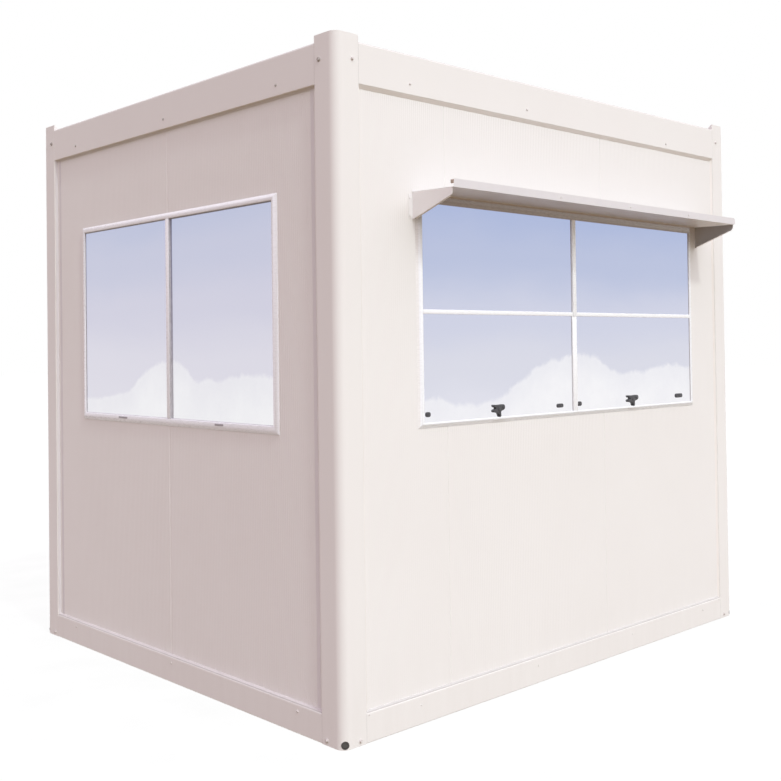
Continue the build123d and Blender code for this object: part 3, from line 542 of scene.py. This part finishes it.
def cut_box(ob, a, b):
    """Takes a box out of a mesh for good."""
    bm = bmesh.new()
    box_mesh(bm, a, b)
    me = bpy.data.meshes.new("cutter")
    bm.to_mesh(me)
    bm.free()
    cutter = bpy.data.objects.new("cutter", me)
    bpy.context.scene.collection.objects.link(cutter)
    mod = ob.modifiers.new("cut", "BOOLEAN")
    mod.operation = "DIFFERENCE"
    mod.solver = "EXACT"
    mod.object = cutter
    bpy.context.view_layer.update()
    dg = bpy.context.evaluated_depsgraph_get()
    new = bpy.data.meshes.new_from_object(ob.evaluated_get(dg))
    ob.modifiers.clear()
    old = ob.data
    ob.data = new
    new.name = ob.name
    bpy.data.meshes.remove(old)
    bpy.data.objects.remove(cutter)
    bpy.data.meshes.remove(me)


# --------------------------------------------------------------------------
# Wall panels with fine vertical ribs and a V joint at each long edge
# --------------------------------------------------------------------------
RIB_PITCH = 12.0


def ribbed_panel(name, wall, s0, s1, z0, z1, hole=None):
    margin = 9.0
    count = int((s1 - s0 - 2 * margin) // RIB_PITCH)
    start = (s0 + s1) / 2 - count * RIB_PITCH / 2
    vd, vw, rib = (2.2, 3.4, 0.35) if wall in ("front", "rear") else (4.2, 5.6, 0.8)
    line = [(s0, -PANEL_T), (s0, -vd), (s0 + vw, 0.0)]
    for i in range(count):
        s = start + i * RIB_PITCH
        line += [(s + 3.2, 0.0), (s + 4.6, -rib), (s + 7.4, -rib), (s + 8.8, 0.0)]
    line += [(s1 - vw, 0.0), (s1, -vd), (s1, -PANEL_T)]
    bm = bmesh.new()
    loft(bm, [[on_wall(wall, s, o, z) for s, o in line] for z in (z0, z1)])
    ob = finish_obj(name + "_ribbed", bm, mat_panel)
    if hole:
        a0, a1, b0, b1 = hole
        p, q = on_wall(wall, a0, 20, b0) / MM, on_wall(wall, a1, -PANEL_T - 20, b1) / MM
        cut_box(ob, tuple(p), tuple(q))
    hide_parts(name)
    return ob


front_hole = (FW["x0"] + COVER, FW["x1"] - COVER, FW["z0"] + COVER, FW["z1"] - COVER)
side_hole = (SW["y0"] + COVER, SW["y1"] - COVER, SW["z0"] + COVER, SW["z1"] - COVER)
ribbed_panel("front_panel_left", "front", -CLEAR_X, SEAM_1, BASE_HIGH, BEAM_LOW, front_hole)
ribbed_panel("front_panel_middle_lower", "front", SEAM_1, SEAM_2, BASE_HIGH, front_hole[2])
ribbed_panel("front_panel_middle_upper", "front", SEAM_1, SEAM_2, front_hole[3], BEAM_LOW)
ribbed_panel("front_panel_right", "front", SEAM_2, CLEAR_X, BASE_HIGH, BEAM_LOW, front_hole)
for side in ("left", "right"):
    ribbed_panel(side + "_panel_front", side, -CLEAR_Y, SEAM_SIDE, BASE_HIGH, BEAM_LOW, side_hole)
    ribbed_panel(side + "_panel_rear", side, SEAM_SIDE, CLEAR_Y, BASE_HIGH, BEAM_LOW, side_hole)
ribbed_panel("rear_panel_left", "rear", -CLEAR_X, DR["x0"], BASE_HIGH, BEAM_LOW)
ribbed_panel("rear_panel_right", "rear", DR["x1"], CLEAR_X, BASE_HIGH, BEAM_LOW)
ribbed_panel("rear_panel_over_door", "rear", DR["x0"], DR["x1"], DR["z1"], BEAM_LOW)


# --------------------------------------------------------------------------
# Window frames, as mitred profiles with a glazing bead
# --------------------------------------------------------------------------
BACK = -PANEL_T - 5.0
front_profile = [
    (0, COVER, 0.0), (0, 0, 0.0), (0, 0, 0.6), (0, 4.0, 2.6), (0, 10.0, PROUD - 3.6), (0, 14.5, PROUD - 1.2), (0, 17.0, PROUD),
    (1, -4.6, PROUD), (1, -2.6, PROUD - 0.2), (1, -1.0, PROUD - 0.9), (1, 0, PROUD - 2.2), (1, 0, BACK), (0, COVER, BACK),
]
# rounded over its whole width
side_profile = [
    (0, COVER, 0.0), (0, 0, 0.0), (0, 0, 1.0), (0.46, 0, PROUD - 0.5), (0.54, 0, PROUD), (0.62, 0, PROUD - 0.1),
    (0.76, 0, PROUD - 0.6), (0.90, 0, PROUD - 1.6), (1, -0.8, PROUD - 3.4), (1, 0, PROUD - 4.9), (1, 0, BACK), (0, COVER, BACK),
]

bm = bmesh.new()
mitred_ring(bm, "front", (FW["x0"], FW["x1"], FW["z0"], FW["z1"]), (FW["left"], FW["right"], FW["bottom"], FW["head"]), front_profile)
ob = finish_obj("front_window_profile", bm, mat_white_front, 28)
ob.visible_glossy = False
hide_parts("front_window_frame")

for side in ("left", "right"):
    bm = bmesh.new()
    mitred_ring(bm, side, (SW["y0"], SW["y1"], SW["z0"], SW["z1"]), (SW["near"], SW["far"], SW["bottom"], SW["head"]), side_profile)
    ob = finish_obj(side + "_window_profile", bm, mat_white_side, 34)
    ob.visible_glossy = False
    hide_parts(side + "_window_frame")

# bars
fi = (FW["x0"] + FW["left"], FW["x1"] - FW["right"], FW["z0"] + FW["bottom"], FW["z1"] - FW["head"])
si = (SW["y0"] + SW["near"], SW["y1"] - SW["far"], SW["z0"] + SW["bottom"], SW["z1"] - SW["head"])
bm = bmesh.new()
wall_box(bm, "front", MULL[0], MULL[1], -PANEL_T, PROUD + 3, TRANS[0], fi[3], 2.0)
wall_box(bm, "front", MULL_A[0], MULL_A[1], -PANEL_T, PROUD, fi[2], TRANS[0], 2.0)
wall_box(bm, "front", fi[0], MULL[0], -PANEL_T, PROUD - 0.5, TRANS[0], TRANS[1], 2.0)
wall_box(bm, "front", MULL[1], fi[1], -PANEL_T, PROUD - 0.5, TRANS[0], TRANS[1], 2.0)
ob = finish_obj("front_window_bars", bm, mat_bars_painted_light, 40, merge=False)
ob.visible_glossy = False
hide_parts("front_window_crossbars")

for side in ("left", "right"):
    bm = bmesh.new()
    wall_box(bm, side, SMULL[0], SMULL[1], -PANEL_T, PROUD - 0.5, si[2], si[3], 2.5)
    ob = finish_obj(side + "_window_meeting_bar", bm, mat_white_side, 40, merge=False)
    ob.visible_glossy = False
    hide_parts(side + "_window_mullion")


# glazing seals: a thin wedge round each pane, on the glass and up the inside of the frame
def gasket(bm, wall, rect, glass_o, lip_o, w=3.0, extra=(0, 0, 0, 0)):
    profile = [(0, 0.0, glass_o - 2), (0, 0.0, lip_o), (0, 0.7, lip_o), (1, 1.0, glass_o + 2.0), (1, w, glass_o + 0.7), (1, w, glass_o - 2)]
    mitred_ring(bm, wall, rect, extra, profile)


bm = bmesh.new()
for x0, x1, z0, z1 in (
    (fi[0], MULL[0], TRANS[1], fi[3]), (MULL[1], fi[1], TRANS[1], fi[3]),
    (fi[0], MULL_A[0], fi[2], TRANS[0]), (MULL_A[1], fi[1], fi[2], TRANS[0]),
):
    wall_box(bm, "front", x0 - 0.5, x0 + 5.0, PANE_OUT - 2.0, PANE_OUT + 1.6, z0, z1, 0.8)
    wall_box(bm, "front", x1 - 2.4, x1 + 0.5, PANE_OUT - 2.0, PANE_OUT + 4.0, z0, z1, 0.8)
ob = finish_obj("front_window_gaskets", bm, mat_seal_pale, merge=False)
ob.visible_glossy = False
for side in ("left", "right"):
    # the sliding seals line the inside of the jambs
    bm = bmesh.new()
    gasket(bm, side, (SMULL[1], si[1], si[2], si[3]), 1.0, 3.4, 2.0)
    gasket(bm, side, (si[0], SMULL[0], si[2], si[3]), -1.0, 3.4, 2.0)
    wall_box(bm, side, SMULL[0] - 0.8, SMULL[0] + 0.4, -5.0, PROUD - 2.0, si[2], si[3])
    wall_box(bm, side, si[1] - 0.8, si[1] + 0.4, -3.0, 4.0, si[2], si[3])
    finish_obj(side + "_window_seals", bm, mat_pile, merge=False)
    # a deeper dark one under the head rail: partly a real seal, partly a dark strip standing in for the shade under
    # the head rail
    bm = bmesh.new()
    for y0, y1, g in ((SMULL[1], si[1], 1.0), (si[0], SMULL[0], -1.0)):
        wall_box(bm, side, y0, y1, g - 2, 3.2, si[3] - 4.4, si[3] + 0.3, 1.0)
    finish_obj(side + "_window_head_seals_and_shade", bm, mat_gasket, 40, merge=False)
    # drain slot caps on the bottom rail
    bm = bmesh.new()
    for y0, y1 in ((363.0, 444.0), (-447.0, -383.0)):
        wall_box(bm, side, y0, y1, PROUD - 2, PROUD + 1.5, 1213.0, 1222.0, 2.0)
    finish_obj(side + "_window_drain_caps", bm, mat_slot_cap, 40, merge=False)


# --------------------------------------------------------------------------
# Latches and stops on the lower front panes
# --------------------------------------------------------------------------
def slab(bm, wall, pts, o0, o1, r):
    """Flat plate from an outline, its front edge rounded by r."""
    tmp = bmesh.new()
    loops = [[on_wall(wall, s, o, z) for s, z in pts] for o in (o0, o1)]
    loft(tmp, loops)
    bmesh.ops.recalc_face_normals(tmp, faces=tmp.faces)
    n = {"front": Vector((0, -1, 0)), "rear": Vector((0, 1, 0)), "left": Vector((-1, 0, 0)), "right": Vector((1, 0, 0))}[wall]
    rim = [e for f in tmp.faces if f.normal.dot(n) > 0.99 for e in f.edges]
    bmesh.ops.bevel(tmp, geom=rim, offset=r * MM, segments=3, profile=0.5, affect="EDGES")
    me = bpy.data.meshes.new("tmp")
    tmp.to_mesh(me)
    tmp.free()
    bm.from_mesh(me)
    bpy.data.meshes.remove(me)


def smooth_outline(pts, steps=4):
    """Closed Catmull-Rom curve through the points."""
    out = []
    n = len(pts)
    for i in range(n):
        p0, p1, p2, p3 = (Vector(pts[(i + k - 1) % n]) for k in range(4))
        for j in range(steps):
            t = j / steps
            out.append(tuple(0.5 * ((2 * p1) + (p2 - p0) * t + (2 * p0 - 5 * p1 + 4 * p2 - p3) * t * t + (3 * p1 - p0 - 3 * p2 + p3) * t ** 3)))
    return out


LATCH = [(-37, 22), (-30, 25), (-8, 23), (26, 25), (35, 21), (38, 13), (36, 5), (27, -1), (14, -5), (11, -13), (12, -24), (8, -30),
         (2, -28), (-5, -15), (-18, -10), (-33, -9), (-38, -2), (-33, 4), (-23, 6), (-22, 12), (-32, 14)]
bm = bmesh.new()
for x, k in ((-534.0, 1.04), (531.0, 1.24)):
    pts = [(x + k * s, 1265.0 + z) for s, z in smooth_outline(LATCH, 3)]
    slab(bm, "front", pts, PANE_OUT - 0.2, PANE_OUT + 9.0, 2.2)
    lathe(bm, (x - 2, -OUT_Y - PANE_OUT, 1270.0), (0, -1, 0), [(9, 0), (9, 9.4), (8, 10.6), (5.5, 11.4), (0, 11.6)])
    lathe(bm, (x + 28, -OUT_Y - PANE_OUT, 1278.0), (0, -1, 0), [(8, 0), (8, 9.6), (7, 11.0), (4, 11.8), (0, 11.9)])
    slab(bm, "front", [(x + 3, 1238), (x + 10, 1238), (x + 8, 1260), (x + 1, 1260)], PANE_OUT + 8.0, PANE_OUT + 11.0, 1.2)
for x, z, w, h in ((-989.0, 1268.0, 26.0, 21.0), (-79.0, 1264.0, 44.0, 19.0), (75.0, 1266.0, 31.0, 22.0), (979.0, 1270.0, 64.0, 22.0)):
    round_pts = []
    r = min(h * 0.42, w * 0.42)
    for cx, cz, a0 in ((x - w / 2 + r, z - h / 2 + r, 180), (x + w / 2 - r, z - h / 2 + r, 270), (x + w / 2 - r, z + h / 2 - r, 0), (x - w / 2 + r, z + h / 2 - r, 90)):
        for k in range(5):
            a = math.radians(a0 + 22.5 * k)
            round_pts.append((cx + r * math.cos(a), cz + r * math.sin(a)))
    slab(bm, "front", round_pts, PANE_OUT - 0.2, PANE_OUT + 5.5, 2.2)
    lathe(bm, (x, -OUT_Y - PANE_OUT, z), (0, -1, 0), [(5, 0), (5, 6.0), (3.8, 6.8), (0, 7.0)])
ob = finish_obj("front_window_fittings", bm, mat_latch, 45)
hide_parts("front_window_latches")
# strike plates on the bottom rail under the handles
bm = bmesh.new()
for x in (-534.0, 531.0):
    wall_box(bm, "front", x - 44, x + 44, PROUD - 3, PROUD + 0.7, 1224.0, 1232.0, 0.8)
finish_obj("front_window_strikes", bm, mat_white, 40, merge=False)


# --------------------------------------------------------------------------
# Sealant in the corners where the wall panels meet the posts and the beams
# --------------------------------------------------------------------------
def beads(wall, half, deep):
    up, low = bmesh.new(), bmesh.new()
    w = 12.0 if deep < 15.0 else 8.0
    # down the posts
    for k in (-1.0, 1.0):
        e = k * half
        outline = lambda z: [on_wall(wall, e + k * 0.4, -0.5, z), on_wall(wall, e - k * w, -0.5, z), on_wall(wall, e - k * (w - 1.5), 0.4, z),
                             on_wall(wall, e - k * 1.6, deep - 5.4, z), on_wall(wall, e + k * 0.4, deep - 4.4, z)]
        loft(up, [outline(BASE_HIGH), outline(BEAM_LOW)])
    # under the top beam
    d, tall = (10.4, 15.0) if deep < 15.0 else (9.0, 9.0)
    outline = lambda t: [on_wall(wall, t, -0.5, BEAM_LOW + 0.4), on_wall(wall, t, -0.5, BEAM_LOW - tall), on_wall(wall, t, 0.4, BEAM_LOW - tall), on_wall(wall, t, d, BEAM_LOW + 0.4)]
    loft(up, [outline(-half), outline(half)])
    # on the base beam, full width of its ledge
    outline = lambda t: [on_wall(wall, t, -0.5, BASE_HIGH - 0.3), on_wall(wall, t, deep - 6.0, BASE_HIGH - 0.3), on_wall(wall, t, deep - 6.5, BASE_HIGH + 0.8),
                         on_wall(wall, t, 1.0, BASE_HIGH + 4.4), on_wall(wall, t, -0.5, BASE_HIGH + 5.0)]
    loft(low, [outline(-half), outline(half)])
    # filler in the groove between the beam ends and the posts
    for k in (-1.0, 1.0):
        for z0, z1 in ((3.0, BASE_HIGH - 7.0), (BEAM_LOW + 3.0, BEAM_TOP - 8.0)):
            wall_box(low, wall, k * (half - 0.6), k * (half + 3.4), deep - 6.0, deep - 1.0, z0, z1, 0.3, 1)
    if deep > 15.0:
        # painted shade: a flat grey smear of sealant on the panel beside the posts, standing in for the shade the
        # posts cast
        for k in (-1.0, 1.0):
            wall_box(up, wall, k * (half - 23.0), k * (half - 43.0), -0.5, 0.5, BASE_HIGH, BEAM_LOW, 0.2, 1)
    return up, low


for wall, half, deep in (("front", CLEAR_X, 12.0), ("rear", CLEAR_X, 12.0), ("left", CLEAR_Y, 17.0), ("right", CLEAR_Y, 17.0)):
    up, low = beads(wall, half, deep)
    finish_obj(wall + "_joint_sealant", up, mat_bead_painted_light if wall in ("front", "rear") else mat_bead_painted_shade, merge=False)
    finish_obj(wall + "_base_sealant", low, mat_ledge_painted_shade if wall in ("front", "rear") else mat_side_ledge_painted_shade, merge=False)


# --------------------------------------------------------------------------
# Screws and bolts
# --------------------------------------------------------------------------
def screw(bm, p, n, scale=1.0):
    """Pan head on a washer."""
    k = scale
    lathe(bm, p, n, [(7.2 * k, -0.5), (7.2 * k, 0.9 * k), (6.7 * k, 1.4 * k), (4.9 * k, 1.4 * k), (4.8 * k, 3.0 * k), (4.2 * k, 4.1 * k), (2.6 * k, 4.8 * k), (0, 5.0 * k)], 20)


def bolt(bm, p, n, k=1.0):
    """Hexagon head on a round washer."""
    lathe(bm, p, n, [(10.5 * k, -0.5), (10.5 * k, 1.2), (9.8 * k, 1.8), (7.5 * k, 1.8)], 24)
    lathe(bm, p, n, [(7.6 * k, 1.5), (7.6 * k, 5.8), (6.9 * k, 6.9), (0, 7.0)], 6, math.pi / 6)


beam_y = -(HY - BEAM_SET)
bm = bmesh.new()
for x, z in ((-1078.0, 2640.0), (-307.0, 2640.0), (881.0, 2621.0)):
    screw(bm, (x, beam_y, z), (0, -1, 0), 0.9)
finish_obj("beam_screws_front", bm, mat_fixing_pale, 50)
bm = bmesh.new()
for x in (-1061.0, -284.0, 486.0, 1180.0):
    screw(bm, (x, beam_y, 80.0), (0, -1, 0), 0.6)
finish_obj("base_screws_front", bm, mat_frame, 50)
bm, low = bmesh.new(), bmesh.new()
for x in (-1100.0, -330.0, 440.0, 1150.0):
    screw(bm, (x, -beam_y, 2640.0), (0, 1, 0))
    screw(bm, (x, -beam_y, 80.0), (0, 1, 0))
beam_x = -(HX - BEAM_SET)
for sx, n in ((1.0, (-1, 0, 0)), (-1.0, (1, 0, 0))):
    for y in (-850.0, 2.0, 854.0):
        screw(bm, (sx * beam_x, y, 2640.0), n, 0.85)
    for y in (-944.0, -25.0, 890.0):
        screw(low, (sx * beam_x, y, 90.0), n, 0.85)
finish_obj("beam_screws", bm, mat_fixing, 50)
finish_obj("base_screws_side", low, mat_fixing_pale, 50)

bm, pale = bmesh.new(), bmesh.new()
for sy in (-1.0, 1.0):
    for sx in (-1.0, 1.0):
        for z in (2690.0, 20.0):
            bolt(pale if sy < 0 else bm, (sx * 1404.0, sy * HY, z), (0, sy, 0), 0.72 if sy < 0 else 1.0)
            bolt(pale if z < 100.0 else bm, (sx * HX, sy * 1124.0, z), (sx, 0, 0), 0.9)
        screw(pale if sy < 0 else bm, (sx * 1355.0, sy * (HY - BEAM_SET), 108.0), (0, sy, 0), 0.5)
finish_obj("post_bolts", bm, mat_fixing, 50)
finish_obj("post_bolts_front", pale, mat_fixing_pale, 50)

# a rubber bung a little way inside each drain outlet
bm = bmesh.new()
turn = math.radians(56.0)
for sx in (-1.0, 1.0):
    for sy in (-1.0, 1.0):
        n = (sx * math.cos(turn), sy * math.sin(turn), 0.0)
        c = (sx * (HX - 38.0) + n[0] * 32.5, sy * (HY - 38.0) + n[1] * 32.5, 18.5)
        lathe(bm, c, n, [(13.3, -2.0), (13.3, 1.6), (12.6, 2.2), (8.5, 2.3), (7.9, 1.4), (0, 1.2)], 28)
finish_obj("drain_bungs", bm, mat_bung, 40)

# awning: brown plug in the end of the lip, lip screws, screws through the gusset lugs
bm = bmesh.new()
box_mesh(bm, (AW_X0 - 1.8, AW_Y + 0.5, AW_FRONT_Z + AW_LIP - 19), (AW_X0 + 3.0, AW_Y + 18.0, AW_FRONT_Z + AW_LIP - 3), 2.4, 3)
plug = finish_obj("awning_end_plug", bm, mat_plug, 45, merge=False)
bm = bmesh.new()
for x in (-360.0, 190.0, 716.0):
    screw(bm, (x, AW_Y, AW_FRONT_Z + 16), (0, -1, 0), 0.7)
for x in (AW_X0 - 15.0, GUS_RIGHT + 15.0):
    for z in (2094.0, 2168.0):
        screw(bm, (x, -OUT_Y - 2.0, z), (0, -1, 0), 0.6)
for x in (-900.0, -360.0, 190.0, 716.0, 1100.0):
    screw(bm, (x, -OUT_Y - 2.0, AW_WALL_Z + 7.0), (0, -1, 0), 0.5)
awning_screws = finish_obj("awning_screws", bm, mat_awning, 50)
# the glass has a painted sky reflection of its own, so these don't show in it
for ob in (plug, awning_screws, nodes["awning_sheet"], nodes["awning_gusset_left"], nodes["awning_gusset_right"]):
    ob.visible_glossy = False


# --------------------------------------------------------------------------
# Finishes on the pieces carried over from the part
# --------------------------------------------------------------------------
def assign(name, mat):
    ob = nodes[name]
    if not ob.material_slots:
        ob.data.materials.append(mat)
    for s in ob.material_slots:
        s.material = mat


for n in nodes:
    if "glass" in n:
        assign(n, mat_glass_front if n.startswith("front") else mat_glass_side)
    elif n == "awning_gusset_right":
        assign(n, mat_gusset_far)
    elif n.startswith("awning"):
        assign(n, mat_awning)
    elif n.startswith("corner_post") or "_beam_" in n:
        assign(n, mat_frame)
    elif n in ("drain_outlets", "front_window_latches"):
        assign(n, mat_black)
    elif n in ("door_handle", "door_hinges"):
        assign(n, mat_steel)
    elif n.startswith("door"):
        assign(n, mat_door)
    elif n == "floor_panel":
        assign(n, mat_floor_board)
    elif n == "roof_sheet":
        assign(n, mat_roof)
    elif "window" in n:
        assign(n, mat_white)
    else:
        assign(n, mat_panel)


# --------------------------------------------------------------------------
# Floor, sky and sun
# --------------------------------------------------------------------------
def studio():
    me = bpy.data.meshes.new("studio_floor")
    s = 60.0
    me.from_pydata([(-s, -s, 0), (s, -s, 0), (s, s, 0), (-s, s, 0)], [], [(0, 1, 2, 3)])
    ob = bpy.data.objects.new("studio_floor", me)
    bpy.context.scene.collection.objects.link(ob)
    ob.location.z = -0.0005
    mat, nt, b = new_mat("studio_floor")
    co = coords(nt)
    tone = map_range(nt, noise(nt, co, 3.0, 4.0), 0.3, 0.7, 0.0, 1.0)
    pale = mix_rgb(nt, tone, (0.985, 0.99, 0.985), (0.965, 0.97, 0.965))
    nt.links.new(pale, b.inputs["Emission Color"])
    b.inputs["Emission Strength"].default_value = 0.93
    nt.links.new(mix_rgb(nt, tone, (0.085, 0.085, 0.085), (0.075, 0.075, 0.075)), b.inputs["Base Color"])
    b.inputs["Roughness"].default_value = 0.95
    b.inputs["Specular IOR Level"].default_value = 0.0
    me.materials.append(mat)
    ob.visible_diffuse = False
    ob.visible_glossy = False

    world = bpy.data.worlds.new("studio")
    bpy.context.scene.world = world
    world.use_nodes = True
    nt = world.node_tree
    nt.nodes.clear()
    out = nt.nodes.new("ShaderNodeOutputWorld")
    bg = nt.nodes.new("ShaderNodeBackground")
    nt.links.new(bg.outputs[0], out.inputs[0])
    tc = nt.nodes.new("ShaderNodeTexCoord")
    sep = nt.nodes.new("ShaderNodeSeparateXYZ")
    nt.links.new(tc.outputs["Generated"], sep.inputs[0])
    # soft light for the surfaces: warm and dim from below, dim at the horizon, bright overhead and from the front
    high = map_range(nt, sep.outputs[2], 0.16, 0.50, 0.0, 1.0, True)
    sky = mix_rgb(nt, high, SKY_LOW, SKY_HIGH)
    toward = nt.nodes.new("ShaderNodeMix")
    toward.data_type = "RGBA"
    toward.inputs[6].default_value = (1.0, 1.0, 1.0, 1.0)
    toward.inputs[7].default_value = (*FRONT_GAIN, 1.0)
    toward.clamp_factor = True
    nt.links.new(math_node(nt, "MULTIPLY", sep.outputs[1], -1.0, clamp=True), toward.inputs[0])
    away = mix_rgb(nt, math_node(nt, "MAXIMUM", sep.outputs[1], 0.0), (1.0, 1.0, 1.0), REAR_GAIN)
    sky = mix_rgb(nt, 1.0, sky, toward.outputs[2], "MULTIPLY")
    sky = mix_rgb(nt, 1.0, sky, away, "MULTIPLY")
    over = map_range(nt, sep.outputs[2], -0.06, 0.03, 0.0, 1.0, True)
    soft = mix_rgb(nt, over, GROUND, sky)
    lp = nt.nodes.new("ShaderNodeLightPath")
    first = math_node(nt, "LESS_THAN", lp.outputs["Diffuse Depth"], 0.5)
    seen = math_node(nt, "MAXIMUM", lp.outputs["Is Camera Ray"], math_node(nt, "MULTIPLY", lp.outputs["Is Glossy Ray"], first))
    col = mix_rgb(nt, seen, soft, (1.0, 1.0, 1.0))
    nt.links.new(col, bg.inputs[0])
    bg.inputs[1].default_value = 1.0

    sun = bpy.data.lights.new("key", "SUN")
    sun.energy = SUN_ENERGY
    sun.color = (0.90, 1.0, 0.97)
    sun.angle = math.radians(4.0)
    so = bpy.data.objects.new("key", sun)
    bpy.context.scene.collection.objects.link(so)
    d = Vector((0.0997, 0.609, -0.787)).normalized()
    so.rotation_euler = d.to_track_quat("-Z", "Y").to_euler()
    so.location = (-1.0, -4.0, 6.0)

    # large soft panel to the front left
    panel = bpy.data.lights.new("fill", "AREA")
    panel.shape = "DISK"
    panel.size = 3.0
    panel.energy = FILL_ENERGY
    po = bpy.data.objects.new("fill", panel)
    bpy.context.scene.collection.objects.link(po)
    po.location = (-3.4, -6.4, 2.2)
    po.rotation_euler = (Vector((-0.8, -1.2, 1.2)) - po.location).to_track_quat("-Z", "Y").to_euler()
    po.visible_glossy = False
    po.visible_camera = False


SKY_LOW, SKY_HIGH, GROUND = (0.19, 0.152, 0.18), (0.975, 0.733, 0.90), (0.296, 0.204, 0.117)
FRONT_GAIN, REAR_GAIN = (2.85, 3.95, 3.36), (1.15, 1.45, 1.32)
SUN_ENERGY, FILL_ENERGY = 0.9, 11.0
studio()
view = bpy.context.scene.view_settings
view.view_transform = "Standard"
view.look = "None"
view.exposure = 0.0
view.gamma = 1.0

bpy.context.view_layer.update()
